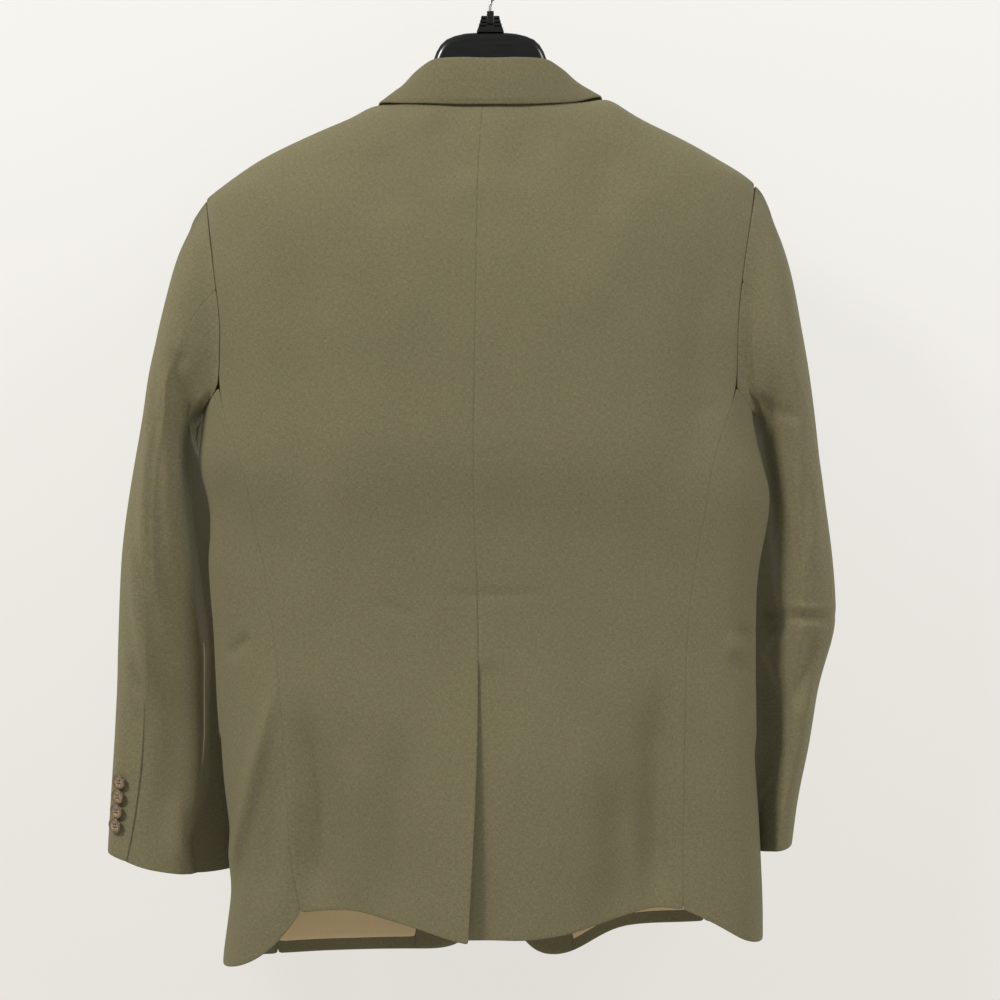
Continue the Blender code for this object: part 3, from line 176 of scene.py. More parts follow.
# edge along which the inner face of a sleeve drops back: height and place across
SLEEVE_DROP = {
    "left": ((-0.8709, -0.2861), (-0.8594, -0.2880), (-0.8383, -0.2937), (-0.8307, -0.2861),
             (-0.7827, -0.2765), (-0.7443, -0.2784), (-0.6676, -0.2784), (-0.6292, -0.2813),
             (-0.5909, -0.2861), (-0.5429, -0.2909), (-0.5094, -0.2928), (-0.4777, -0.2985),
             (-0.4566, -0.2976), (-0.4231, -0.2813)),
    "right": ((-0.8533, 0.2565), (-0.8049, 0.2632), (-0.7807, 0.2768), (-0.7468, 0.2846),
              (-0.7080, 0.2836), (-0.6644, 0.2690), (-0.6353, 0.2855), (-0.6111, 0.2816),
              (-0.5869, 0.2778), (-0.5578, 0.2758), (-0.5239, 0.2739), (-0.4851, 0.2710),
              (-0.4512, 0.2632), (-0.4192, 0.2468)),
}
DROP_DEPTH = 0.0092       # how far it drops back

# opening of the left cuff: its upper and lower end, as place across and height
CUFF_TOP = (-0.3267, -0.6888)
CUFF_FOOT = (-0.3453, -0.8559)
CUFF_SPREAD = 2.2         # the top edge spreads sideways by this many times its lift

# edge of the vent: place across at two heights
VENT_TOP = (-0.0108, -0.6660)
VENT_FOOT = (-0.0200, -0.9286)
VENT_STAND = 0.0045       # the left edge stands off this far at the hem
VENT_SINK = 0.0012        # and the right half lies this much deeper there
# how far the right half is raised beside the seam, by height
VENT_LEVEL = (
    (-0.8000, 0.0), (-0.7400, 0.0008), (-0.6740, 0.0016), (-0.6640, 0.0036), (-0.6500, 0.0040),
    (-0.6400, 0.0035), (-0.6300, 0.0027), (-0.6200, 0.0019), (-0.6100, 0.0012),
    (-0.6000, 0.0006), (-0.5850, 0.0),
)

# hanger plate: place across, top edge, lower edge, half of its depth
PLATE_NAMES = ("x", "top", "low", "half")
PLATE = (
    (0.0000, -0.0636, -0.1220, 0.0088), (0.0145, -0.0638, -0.1235, 0.0089),
    (0.0245, -0.0646, -0.1250, 0.0090), (0.0345, -0.0670, -0.1295, 0.0091),
    (0.0423, -0.0704, -0.1340, 0.0092), (0.0480, -0.0757, -0.1375, 0.0094),
    (0.0520, -0.0826, -0.1410, 0.0096), (0.0549, -0.0905, -0.1440, 0.0097),
    (0.0620, -0.1120, -0.1540, 0.0100), (0.0800, -0.1370, -0.1690, 0.0105),
    (0.1150, -0.1570, -0.1850, 0.0115), (0.1600, -0.1790, -0.2050, 0.0130),
    (0.2000, -0.2000, -0.2250, 0.0150), (0.2280, -0.2170, -0.2405, 0.0155),
    (0.2395, -0.2270, -0.2465, 0.0140),
)
# neck of the hanger: top, half-width there, foot, half-width there, half of its depth
NECK_NAMES = ("top", "wide_top", "foot", "wide_foot", "half")
NECK = (
    (-0.0483, 0.0082, -0.0640, 0.0128, 0.0026), (-0.0483, 0.0086, -0.0505, 0.0092, 0.0062),
    (-0.0515, 0.0094, -0.0543, 0.0102, 0.0064), (-0.0553, 0.0105, -0.0577, 0.0113, 0.0066),
    (-0.0587, 0.0116, -0.0640, 0.0132, 0.0068), (-0.0438, 0.0034, -0.0640, 0.0036, 0.0066),
)

# collar stitch: length, width, height
STITCH = (0.0017, 0.00055, 0.0005)

# sleeve button, which the others are scaled from
BUTTON_RADIUS = 0.0075
BUTTON_MIDDLE = 0.00105   # half its thickness
HOLE_OFF = 0.00135        # the holes' places, from the middle
HOLE_RADIUS = 0.00085
# its turned section, in millimetres: radius, height
BUTTON_SECTION = (
    (0.0, 0.0), (6.3, 0.0), (7.2, 0.35), (7.5, 0.95), (7.35, 1.6), (6.9, 2.05), (6.3, 2.1),
    (5.6, 1.9), (5.0, 1.45), (4.6, 1.3), (0.0, 1.25),
)

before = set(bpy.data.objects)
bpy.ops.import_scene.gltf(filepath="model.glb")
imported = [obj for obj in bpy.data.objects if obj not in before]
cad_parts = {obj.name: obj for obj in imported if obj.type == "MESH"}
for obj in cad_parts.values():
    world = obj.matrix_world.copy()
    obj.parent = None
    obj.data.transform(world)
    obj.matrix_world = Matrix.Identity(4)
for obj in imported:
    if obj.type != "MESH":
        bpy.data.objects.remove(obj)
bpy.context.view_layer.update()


# ---------------------------------------------------------------- shader maths

class Value:
    """A number that a shader works out; arithmetic on it adds Math nodes."""

    def __init__(self, finish, socket):
        self.finish = finish
        self.socket = socket

    def _math(self, operation, first, second=0.0):
        """One Math node."""
        settings = {"operation": operation}
        return self.finish.node("ShaderNodeMath", settings, {0: first, 1: second})

    def __add__(self, other):
        return self._math("ADD", self, other)

    __radd__ = __add__

    def __sub__(self, other):
        return self._math("SUBTRACT", self, other)

    def __rsub__(self, other):
        return self._math("SUBTRACT", other, self)

    def __mul__(self, other):
        return self._math("MULTIPLY", self, other)

    __rmul__ = __mul__

    def wave(self):
        """Its sine."""
        return self._math("SINE", self)


class Finish:
    """One material, with the nodes that give it its detail."""

    def __init__(self, name, colour, roughness, **fixed):
        self.material = bpy.data.materials.new(name)
        self.material.use_nodes = True
        self.material.diffuse_color = (*colour, 1.0)
        self.tree = self.material.node_tree
        self.shader = self.tree.nodes["Principled BSDF"]
        self.shader.inputs["Base Color"].default_value = (*colour, 1.0)
        self.shader.inputs["Roughness"].default_value = roughness
        for key, value in fixed.items():
            self.shader.inputs[key.replace("_", " ")].default_value = value

    def node(self, kind, settings=None, inputs=None, out=0):
        """One node: its settings first, then the values or links of its sockets."""
        made = self.tree.nodes.new(kind)
        for key, value in (settings or {}).items():
            if key == "stops":
                ramp = made.color_ramp
                while len(ramp.elements) < len(value):
                    ramp.elements.new(0.5)
                for element, (place, colour) in zip(ramp.elements, value):
                    element.position = place
                    element.color = (*colour, 1.0)
            else:
                setattr(made, key, value)
        for key, value in (inputs or {}).items():
            if isinstance(value, Value):
                self.tree.links.new(value.socket, made.inputs[key])
            else:
                made.inputs[key].default_value = value
        return Value(self, made.outputs[out])

    def feed(self, key, value):
        """Lead a value into one socket of the surface shader."""
        self.tree.links.new(value.socket, self.shader.inputs[key])

    def mix(self, share, first, second, blend="MIX"):
        """Mix two colours; a colour is a value or three numbers."""
        one, two = [c if isinstance(c, Value) else (*c, 1.0) for c in (first, second)]
        settings = {"data_type": "RGBA", "blend_type": blend}
        return self.node("ShaderNodeMix", settings, {0: share, 6: one, 7: two}, 2)

    def noise(self, vector, scale, detail=2.0, roughness=0.5):
        """Soft noise from 0 to 1."""
        inputs = {"Vector": vector, "Scale": scale, "Detail": detail, "Roughness": roughness}
        return self.node("ShaderNodeTexNoise", None, inputs)

    def place(self):
        """Object coordinates."""
        return self.node("ShaderNodeTexCoord", None, None, 3)

    def along_cloth(self):
        """Coordinates that run with the threads, in metres."""
        return self.node("ShaderNodeUVMap", {"uv_map": "threads"})

    def stretched(self, vector, scale):
        """Coordinates scaled unevenly."""
        return self.node("ShaderNodeMapping", None, {"Vector": vector, "Scale": scale})

    def parts(self, vector):
        """The three parts of a vector."""
        made = self.tree.nodes.new("ShaderNodeSeparateXYZ")
        self.tree.links.new(vector.socket, made.inputs[0])
        return [Value(self, out) for out in made.outputs]

    def relief(self, height, distance, strength=1.0):
        """Bump from a height, into the surface's normal."""
        inputs = {"Height": height, "Distance": distance, "Strength": strength}
        self.feed("Normal", self.node("ShaderNodeBump", None, inputs))


def olive_worsted():
    """Matt wool cloth: a fine plain weave of two olive yarns with small slubs."""
    f = Finish("olive_worsted", (0.150, 0.130, 0.074), 0.88,
               Sheen_Weight=0.12, Sheen_Roughness=0.45, Sheen_Tint=(0.80, 0.77, 0.62, 1.0),
               Specular_IOR_Level=0.20)
    cloth = f.along_cloth()
    u, v, _ = f.parts(cloth)
    wave_u = (u * (THREADS * math.pi)).wave()
    wave_v = (v * (THREADS * math.pi)).wave()
    weave = wave_u * wave_v
    warp = f.noise(f.stretched(cloth, (900.0, 280.0, 1.0)), 1.0, 1.0)
    weft = f.noise(f.stretched(cloth, (280.0, 900.0, 1.0)), 1.0, 1.0)
    body = f.place()
    cloud = f.noise(body, 16.0, 3.0)
    patch = f.noise(body, 90.0, 2.0)
    tone = (warp - 0.5) * 0.68 + (weft - 0.5) * 0.68 + (cloud - 0.5) * 0.10
    tone = tone + (patch - 0.5) * 0.08 + weave * 0.06 + 0.5
    yarn = f.node("ShaderNodeValToRGB", {"stops": (
        (0.20, CLOTH_DARK), (0.50, CLOTH_TONE), (0.80, CLOTH_LIGHT))}, {0: tone})
    f.feed("Base Color", yarn)
    f.feed("Roughness", 0.84 + patch * 0.10)
    f.relief(weave * 0.5 + (warp + weft) * 0.8, 0.00022)
    return f.material


def tan_lining():
    """Smooth lining cloth with a soft sheen and a fine twill."""
    f = Finish("tan_lining", (0.400, 0.300, 0.165), 0.42,
               Sheen_Weight=0.15, Sheen_Roughness=0.3, Specular_IOR_Level=0.5,
               Anisotropic=0.3)
    cloth = f.along_cloth()
    u, v, _ = f.parts(cloth)
    twill = ((u + v) * (TWILL_LINES * math.pi)).wave()
    body = f.place()
    cloud = f.noise(body, 22.0, 3.0)
    thread = f.noise(f.stretched(cloth, (1400.0, 60.0, 1.0)), 1.0, 1.0)
    tone = (cloud - 0.5) * 0.7 + (thread - 0.5) * 0.45 + 0.5
    f.feed("Base Color", f.mix(tone, LINING_DARK, LINING_LIGHT))
    f.feed("Roughness", 0.36 + thread * 0.16)
    f.relief(twill * 0.4 + thread, 0.00012)
    return f.material


def satin_black():
    """Moulded black hanger, satin, with faint scuffs."""
    f = Finish("satin_black", (0.008, 0.008, 0.008), 0.24, Specular_IOR_Level=0.5)
    place = f.place()
    grain = f.noise(place, 900.0, 2.0)
    scuff = f.noise(f.stretched(place, (90.0, 90.0, 420.0)), 1.0, 3.0)
    f.feed("Base Color", f.mix(scuff, (0.006, 0.006, 0.006), (0.012, 0.012, 0.012)))
    f.feed("Roughness", 0.16 + scuff * 0.16)
    f.relief(grain, 0.00005, 0.6)
    return f.material


def bright_wire():
    """Plated steel wire of the hook, with fine drawing lines."""
    f = Finish("bright_wire", (0.62, 0.62, 0.63), 0.24, Metallic=1.0)
    place = f.place()
    drawn = f.noise(f.stretched(place, (3000.0, 3000.0, 90.0)), 1.0, 2.0)
    dull = f.noise(place, 160.0, 2.0)
    f.feed("Base Color", f.mix(dull, (0.30, 0.30, 0.30), (0.42, 0.42, 0.42)))
    f.feed("Roughness", 0.18 + drawn * 0.18)
    f.relief(drawn, 0.00003)
    return f.material


def brown_horn():
    """Polished brown button stock, clouded, with painted shade darkening it towards the rim."""
    f = Finish("brown_horn", (0.150, 0.090, 0.050), 0.28, Coat_Weight=0.35,
               Coat_Roughness=0.12)
    place = f.place()
    cloud = f.noise(f.stretched(place, (260.0, 260.0, 120.0)), 1.0, 4.0, 0.6)
    vein = f.noise(f.stretched(place, (1100.0, 700.0, 240.0)), 1.0, 3.0, 0.6)
    # rim: painted shade that darkens each button towards its edge
    rim = f.node("ShaderNodeVertexColor", {"layer_name": "rim"})
    base = f.node("ShaderNodeValToRGB", {"stops": (
        (0.30, (0.110, 0.068, 0.036)), (0.52, (0.270, 0.185, 0.105)),
        (0.72, (0.440, 0.335, 0.210)))}, {0: cloud * 0.6 + vein * 0.4})
    f.feed("Base Color", f.mix(1.0, base, rim, "MULTIPLY"))
    f.feed("Roughness", 0.20 + vein * 0.18)
    f.relief(vein, 0.00004)
    return f.material


def olive_thread():
    """Twisted sewing thread."""
    f = Finish("olive_thread", (0.085, 0.072, 0.040), 0.7)
    place = f.place()
    twist = f.noise(place, 2600.0, 2.0)
    f.feed("Base Color", f.mix(twist, (0.060, 0.050, 0.028), (0.125, 0.108, 0.062)))
    f.relief(twist, 0.0001)
    return f.material


def pale_paint(name, low, high):
    """Bright paint, very slightly uneven, mostly lit by its own glow; the glow runs from low at
    the bottom to high at the top, painted shade of light from above.
    """
    f = Finish(name, (0.11, 0.108, 0.103), 0.9, Emission_Strength=1.0)
    place = f.place()
    cloud = f.noise(place, 1.4, 3.0)
    f.feed("Base Color", f.mix(cloud, (0.105, 0.103, 0.098), (0.115, 0.113, 0.108)))
    # the glow darkens towards the bottom: painted shade of light from above
    height = f.parts(place)[2]
    share = f.node("ShaderNodeClamp", None, {0: height + 1.0})
    f.feed("Emission Color", f.mix(share, low, high))
    f.relief(f.noise(place, 120.0, 3.0), 0.0004, 0.4)
    return f.material


# ---------------------------------------------------------------- cloth pieces

def new_object(name, mesh):
    """An object of a finished mesh, at the origin."""
    obj = bpy.data.objects.new(name, mesh)
    bpy.context.scene.collection.objects.link(obj)
    return obj


def face_groups(bm):
    """Faces that run smoothly into each other, the group with the largest area first."""
    seen = set()
    groups = []
    for first in bm.faces:
        if first in seen:
            continue
        seen.add(first)
        group = []
        queue = [first]
        while queue:
            face = queue.pop()
            group.append(face)
            for edge in face.edges:
                if len(edge.link_faces) == 2 and edge.calc_face_angle() < SHARP:
                    fresh = [other for other in edge.link_faces if other not in seen]
                    seen.update(fresh)
                    queue.extend(fresh)
        groups.append(group)
    groups.sort(key=lambda group: -sum(face.calc_area() for face in group))
    return groups


def merged_copy(node, name, hold, levels, outward=None):
    """Copy of one solid: its triangles merged into quads, its rims held, refined smoothly.

    With outward given, the rims are let out and the inner faces take the second finish.
    """
    bm = bmesh.new()
    bm.from_mesh(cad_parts[node].data)
    bmesh.ops.remove_doubles(bm, verts=bm.verts, dist=2e-5)
    bmesh.ops.join_triangles(bm, faces=bm.faces, angle_face_threshold=math.radians(50),
                             angle_shape_threshold=math.radians(70))
    for face in bm.faces:
        face.material_index = 0
    if outward:
        groups = face_groups(bm)
        walls = groups[:2]
        rim = {face for group in groups[2:] for face in group}
        for group in walls:
            centres = np.array([tuple(face.calc_center_median()) for face in group])
            normals = np.array([tuple(face.normal) for face in group])
            facing = np.sum(normals * outward(centres), axis=1)
            if facing.mean() < 0.0:
                for face in group:
                    face.material_index = 1
        moves = {}
        for face in rim:
            for vert in face.verts:
                moves[vert] = moves.get(vert, Vector()) + face.normal
        for vert, way in moves.items():
            if way.length > 0.2:
                vert.co += way.normalized() * LET_OUT
    crease = bm.edges.layers.float.new("crease_edge")
    for edge in bm.edges:
        if len(edge.link_faces) == 2 and edge.calc_face_angle() > SHARP:
            edge[crease] = hold
    mesh = bpy.data.meshes.new(name)
    bm.to_mesh(mesh)
    bm.free()
    obj = new_object(name, mesh)
    smooth = obj.modifiers.new("smooth", "SUBSURF")
    smooth.levels = levels
    smooth.render_levels = levels
    settled = obj.evaluated_get(bpy.context.evaluated_depsgraph_get())
    fine = bpy.data.meshes.new_from_object(settled)
    obj.modifiers.clear()
    obj.data = fine
    fine.name = name
    fine.shade_smooth()
    return obj


def refine(mesh, level):
    """Split the level edges of a mesh once, or else the upright ones."""
    bm = bmesh.new()
    bm.from_mesh(mesh)
    picked = []
    for edge in bm.edges:
        run = edge.verts[1].co - edge.verts[0].co
        if (abs(run.z) < math.hypot(run.x, run.y)) == level:
            picked.append(edge)
    bmesh.ops.subdivide_edges(bm, edges=picked, cuts=1, use_grid_fill=True)
    bm.to_mesh(mesh)
    bm.free()
    mesh.shade_smooth()


def points_of(mesh):
    """Places of a mesh's points, as rows."""
    rows = np.empty(len(mesh.vertices) * 3)
    mesh.vertices.foreach_get("co", rows)
    return rows.reshape(-1, 3)


def put_points(mesh, rows):
    """Set the places of a mesh's points."""
    mesh.vertices.foreach_set("co", rows.ravel())
    mesh.update()


def body_outward(points):
    """Level direction away from the middle of the body, for each point."""
    way = points * (1.0 / BODY_HALF_WIDTH ** 2, 0.0, 0.0)
    way[:, 1] = (points[:, 1] - BODY_MIDDLE_Y) / BODY_HALF_DEPTH ** 2
    return way / np.linalg.norm(way, axis=1, keepdims=True)


def sleeve_middle(word):
    """Middle line of a sleeve from its solids, as rows of height, place across, depth."""
    rows = []
    for part in ("sleeve_top_", "sleeve_under_"):
        rows.append(points_of(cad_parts[part + word].data))
    points = np.concatenate(rows)
    line = []
    for z in np.arange(*SLEEVE_BANDS):
        band = points[np.abs(points[:, 2] - z) < BAND_HALF]
        middle = (band.min(axis=0) + band.max(axis=0)) / 2.0
        line.append((z, middle[0], middle[1]))
    return np.array(line)


def sleeve_outward(points, middle):
    """Level direction away from the middle line of a sleeve, for each point."""
    way = np.zeros_like(points)
    way[:, 0] = points[:, 0] - np.interp(points[:, 2], middle[:, 0], middle[:, 1])
    way[:, 1] = points[:, 1] - np.interp(points[:, 2], middle[:, 0], middle[:, 2])
    return way / np.maximum(np.linalg.norm(way, axis=1, keepdims=True), 1e-9)


def soft(share):
    """A share cut to 0..1, with soft ends."""
    share = np.clip(share, 0.0, 1.0)
    return share * share * (3.0 - 2.0 * share)


def hump(off, width):
    """1 where off is zero, falling smoothly to almost nothing at twice the width."""
    return np.exp(-(off / width) ** 2)


def near(places, middle_and_width):
    """A smooth hump round one place."""
    middle, width = middle_and_width
    return hump(places - middle, width)


def crease_heights(points, creases):
    """How far a set of creases lifts each point."""
    total = np.zeros(len(points))
    flat = points[:, (0, 2)]
    for row in creases:
        c = dict(zip(CREASE_NAMES, row))
        path = np.array(c["path"])
        nearest = np.full(len(points), 9.0)
        turn = np.zeros(len(points))
        along = np.zeros(len(points))
        done = 0.0
        for start, end in zip(path[:-1], path[1:]):
            run = end - start
            length = np.hypot(run[0], run[1])
            off = flat - start
            share = np.clip(off @ run / length ** 2, 0.0, 1.0)
            gap = off - share[:, None] * run
            distance = np.hypot(gap[:, 0], gap[:, 1])
            closer = distance < nearest
            nearest = np.where(closer, distance, nearest)
            turn = np.where(closer, run[0] * gap[:, 1] - run[1] * gap[:, 0], turn)
            along = np.where(closer, done + share * length, along)
            done += length
        fade = soft(along / (0.30 * done)) * soft((done - along) / (0.30 * done))
        width = np.where(turn < 0.0, c["left"], c["right"])
        total += c["height"] * fade * hump(nearest, width)
    return total


def slow_waves(points):
    """Slight unevenness of hanging cloth, half a millimetre at most."""
    x, z = points[:, 0], points[:, 2]
    wave = np.sin(x * 61.0 + z * 23.0 + 0.7) + np.sin(x * 97.0 - z * 37.0 + 2.1)
    wave = wave + np.sin(z * 71.0 + x * 19.0 + 4.0)
    return wave * 0.00016


def vent_edge(points):
    """Place of the vent's edge at each point's height."""
    return np.interp(points[:, 2], (VENT_FOOT[1], VENT_TOP[1]), (VENT_FOOT[0], VENT_TOP[0]))


def vent_lift(points, node):
    """The left edge of the vent stands off more towards the hem.

    The right half is level with it above the vent, and lies under it below.
    """
    down = soft((VENT_TOP[1] - points[:, 2]) / 0.24)
    off = points[:, 0] - vent_edge(points)
    if node == "back_left":
        return VENT_STAND * down * hump(off, 0.034)
    if node == "back_right":
        width = np.where(off < 0.0, 0.040, 0.014)
        sunk = -VENT_SINK * down * hump(off, width)
        heights, lifts = zip(*VENT_LEVEL)
        level = np.interp(points[:, 2], heights, lifts)
        width = np.where(off < 0.0, 0.005, 0.024)
        return sunk + level * hump(off, width)
    return np.zeros(len(points))


def neck_rise(points):
    """How much higher the cloth stands at the right end of the collar."""
    return NECK_RISE * near(points[:, 0], NECK_X) * soft((points[:, 2] + 0.215) / 0.07)


def shoulder_rise(points, node):
    """The shoulder comes up under the ends of the collar."""
    if node.startswith("collar") or node.startswith("lapel"):
        return np.zeros(len(points))
    rise = SHOULDER_RISE * near(np.abs(points[:, 0]), SHOULDER_X)
    return rise * soft((points[:, 2] + 0.200) / 0.05)


def body_shift(points, node):
    """Move the points of a body piece by its creases, waves, vent and neck."""
    outward = body_outward(points)
    behind = soft((-0.004 - points[:, 1]) / 0.020)
    lift = crease_heights(points, BACK_CREASES) * behind
    lift += crease_heights(points, FRONT_CREASES) * (1.0 - behind)
    lift += vent_lift(points, node) * behind + slow_waves(points)
    moved = points + outward * lift[:, None]
    moved[:, 2] += neck_rise(points) + shoulder_rise(points, node)
    drawn_in = UNDER_ARM_IN * near(points[:, 2], UNDER_ARM_Z)
    moved[:, 0] += drawn_in * soft((-0.205 - points[:, 0]) / 0.055)
    return moved


def cuff_opening(points, node):
    """The top sleeve's edge stands over the under sleeve along the cuff's opening."""
    across = np.interp(points[:, 2], (CUFF_FOOT[1], CUFF_TOP[1]), (CUFF_FOOT[0], CUFF_TOP[0]))
    off = points[:, 0] - across
    down = soft((-0.690 - points[:, 2]) / 0.09)
    if node == "sleeve_top_left":
        return 0.0013 * down * hump(off, 0.010)
    if node == "sleeve_under_left":
        return -0.0010 * down * hump(off, 0.008)
    return np.zeros(len(points))


def sleeve_drop(points, word):
    """How far the inner face of a sleeve stands back from its bright edge, 0 to 1."""
    heights, places = zip(*SLEEVE_DROP[word])
    edge = np.interp(points[:, 2], heights, places)
    side = 1.0 if word == "left" else -1.0
    inside = soft((side * (points[:, 0] - edge) + 0.0010) / 0.0060)
    return inside * soft((-0.420 - points[:, 2]) / 0.028)


def sleeve_shift(points, word, middle, node=""):
    """Move the points of a sleeve by its creases and waves."""
    outward = sleeve_outward(points, middle)
    behind = soft((0.30 - outward[:, 1]) / 0.45)
    lift = crease_heights(points, SLEEVE_BACK_CREASES[word]) * behind
    lift += crease_heights(points, SLEEVE_FRONT_CREASES[word]) * (1.0 - behind)
    calm = soft((points[:, 2] + 0.76) / 0.06)
    lift += slow_waves(points) * calm + cuff_opening(points, node) * behind
    moved = points + outward * lift[:, None]
    moved[:, 1] += DROP_DEPTH * sleeve_drop(points, word) * (0.35 + 0.65 * behind)
    if node == "sleeve_top_left":
        moved[:, 0] += CUFF_SPREAD * cuff_opening(points, node) * behind
    if word == "right":
        drawn_in = ARM_PIT_IN * near(points[:, 2], ARM_PIT_Z)
        moved[:, 0] -= drawn_in * near(points[:, 0], ARM_PIT_X)
    return moved


def thread_map(mesh, points, round_x):
    """Coordinates that run with the threads: round the piece, and down it."""
    layer = mesh.uv_layers.new(name="threads")
    corner = np.empty(len(mesh.loops), dtype=np.int32)
    mesh.loops.foreach_get("vertex_index", corner)
    pairs = np.stack((round_x, points[:, 2]), axis=1)[corner]
    layer.data.foreach_set("uv", pairs.ravel())


def line_inside(obj, lowest, turn, lining):
    """Give the inner faces the lining, down to the turned-up edge."""
    mesh = obj.data
    mesh.materials.append(lining)
    count = len(mesh.polygons)
    index = np.empty(count, dtype=np.int32)
    centres = np.empty(count * 3)
    mesh.polygons.foreach_get("material_index", index)
    mesh.polygons.foreach_get("center", centres)
    centres = centres.reshape(-1, 3)
    inside = (index == 1) & (centres[:, 2] > lowest(centres) + turn)
    mesh.polygons.foreach_set("material_index", inside.astype(np.int32))


def hem_of(obj):
    """Lowest height of a piece near each place across."""
    points = points_of(obj.data)
    slots = np.round(points[:, 0] / HEM_STEP).astype(int)
    low = {}
    for slot, z in zip(slots, points[:, 2]):
        low[slot] = min(low.get(slot, 9.0), z)
    keys = sorted(low)
    places = np.array(keys) * HEM_STEP
    heights = np.array([low[k] for k in keys])
    return lambda at: np.interp(at[:, 0], places, heights)


def declare(obj, node, finish):
    """Hand one cloth piece over: its finish and the solids it stands for."""
    obj.data.materials.append(finish)
    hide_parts(node)
    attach(obj, "root")


def body_panel(node, finish, lining=None, levels=3):
    """A panel of the coat's body."""
    obj = merged_copy(node, node + "_cloth", HOLD, levels, body_outward)
    points = points_of(obj.data)
    behind = points[:, 1] < -0.010
    depth = np.where(behind, points[:, 1], -points[:, 1]) + 0.078
    share = np.clip(np.abs(points[:, 0]) / 0.10, 0, 1) ** 2
    thread_map(obj.data, points, points[:, 0] + np.sign(points[:, 0]) * depth * share)
    put_points(obj.data, body_shift(points, node))
    declare(obj, node, finish)
    if lining:
        line_inside(obj, hem_of(obj), HEM_TURN, lining)
    else:
        obj.data.polygons.foreach_set("material_index", [0] * len(obj.data.polygons))
    return obj


def sleeve_panel(node, word, middle, finish, lining, levels):
    """One of the two pieces of a sleeve."""
    obj = merged_copy(node, node + "_cloth", HOLD, levels,
                      lambda at: sleeve_outward(at, middle))
    refine(obj.data, word == "left")
    points = points_of(obj.data)
    way = sleeve_outward(points, middle)
    thread_map(obj.data, points, SLEEVE_RADIUS * np.arctan2(way[:, 1], way[:, 0]))
    put_points(obj.data, sleeve_shift(points, word, middle, node))
    declare(obj, node, finish)
    line_inside(obj, hem_of(obj), CUFF_TURN, lining)
    return obj


def make_cloth(olive, tan, middles):
    """Every piece of cloth of the coat. The collar is handed back for its stitching."""
    for word in ("left", "right"):
        for kind in ("back", "side", "front"):
            body_panel(kind + "_" + word, olive, tan)
        for kind in ("facing", "lapel", "pocket_flap"):
            body_panel(kind + "_" + word, olive, None, 2)
        body_panel("lining_front_" + word, tan, None, 2)
        for kind in ("sleeve_top", "sleeve_under"):
            sleeve_panel(kind + "_" + word, word, middles[word], olive, tan, 3)
    collar = body_panel("collar", olive, None, 2)
    body_panel("breast_welt", olive, None, 2)
    return collar


# ---------------------------------------------------------------- hanger and buttons

def hand_over(obj, finish, slot, *nodes):
    """Give a hard piece its finish, and hand over the solids it stands for. The slot is not
    used.
    """
    obj.data.materials.clear()
    obj.data.materials.append(finish)
    if nodes:
        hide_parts(*nodes)
    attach(obj, "root")


def settle(bm, name, angle):
    """A finished mesh object: outward faces, smooth up to an angle."""
    bmesh.ops.recalc_face_normals(bm, faces=bm.faces)
    mesh = bpy.data.meshes.new(name)
    bm.to_mesh(mesh)
    bm.free()
    mesh.shade_smooth()
    mesh.set_sharp_from_angle(angle=math.radians(angle))
    return new_object(name, mesh)


def hard_edges(bm):
    """Edges where the faces meet at a clear angle."""
    return [edge for edge in bm.edges
            if len(edge.link_faces) == 2 and edge.calc_face_angle() > math.radians(50)]


def make_plate(black):
    """The hanger's hump and arms: a plate with a wide round rim."""
    half = [dict(zip(PLATE_NAMES, row)) for row in PLATE]
    stations = [dict(row, x=-row["x"]) for row in half[:0:-1]] + half
    bm = bmesh.new()
    rings = []
    for row in stations:
        ring = []
        for y, z in ((-1, "top"), (-1, "low"), (1, "low"), (1, "top")):
            ring.append(bm.verts.new((row["x"], y * row["half"], row[z])))
        rings.append(ring)
    for one, two in zip(rings[:-1], rings[1:]):
        for k in range(4):
            n = (k + 1) % 4
            bm.faces.new((one[k], one[n], two[n], two[k]))
    bm.faces.new(rings[0])
    bm.faces.new(rings[-1][::-1])
    bmesh.ops.recalc_face_normals(bm, faces=bm.faces)
    bmesh.ops.bevel(bm, geom=hard_edges(bm), offset=0.0078, offset_type="OFFSET", segments=8,
                    profile=0.5, affect="EDGES", clamp_overlap=False, material=-1)
    flats = [face for face in bm.faces if abs(face.normal.y) > 0.995]
    bmesh.ops.inset_region(bm, faces=flats, thickness=0.0007, use_even_offset=True)
    hand_over(settle(bm, "hanger_plate", 32), black, "hanger_plastic", "hanger_body")


def make_neck(black):
    """The hanger's neck: a post on a web with ribs."""
    bm = bmesh.new()
    for row in NECK:
        c = dict(zip(NECK_NAMES, row))
        made = bmesh.ops.create_cube(bm, size=2.0)["verts"]
        for vert in made:
            wide = c["wide_top"] if vert.co.z > 0 else c["wide_foot"]
            height = c["top"] if vert.co.z > 0 else c["foot"]
            vert.co = (vert.co.x * wide, vert.co.y * c["half"], height)
    bmesh.ops.bevel(bm, geom=list(bm.edges), offset=0.00055, offset_type="OFFSET", segments=3,
                    profile=0.5, affect="EDGES", clamp_overlap=True, material=-1)
    hand_over(settle(bm, "hanger_neck_ribs", 40), black, "hanger_plastic", "hanger_neck")


def make_hanger(black, wire):
    """Hanger plate, neck and wire hook."""
    make_plate(black)
    make_neck(black)
    hand_over(merged_copy("hanger_hook", "hanger_hook_wire", 0.6, 2), wire, "hook_metal",
              "hanger_hook")


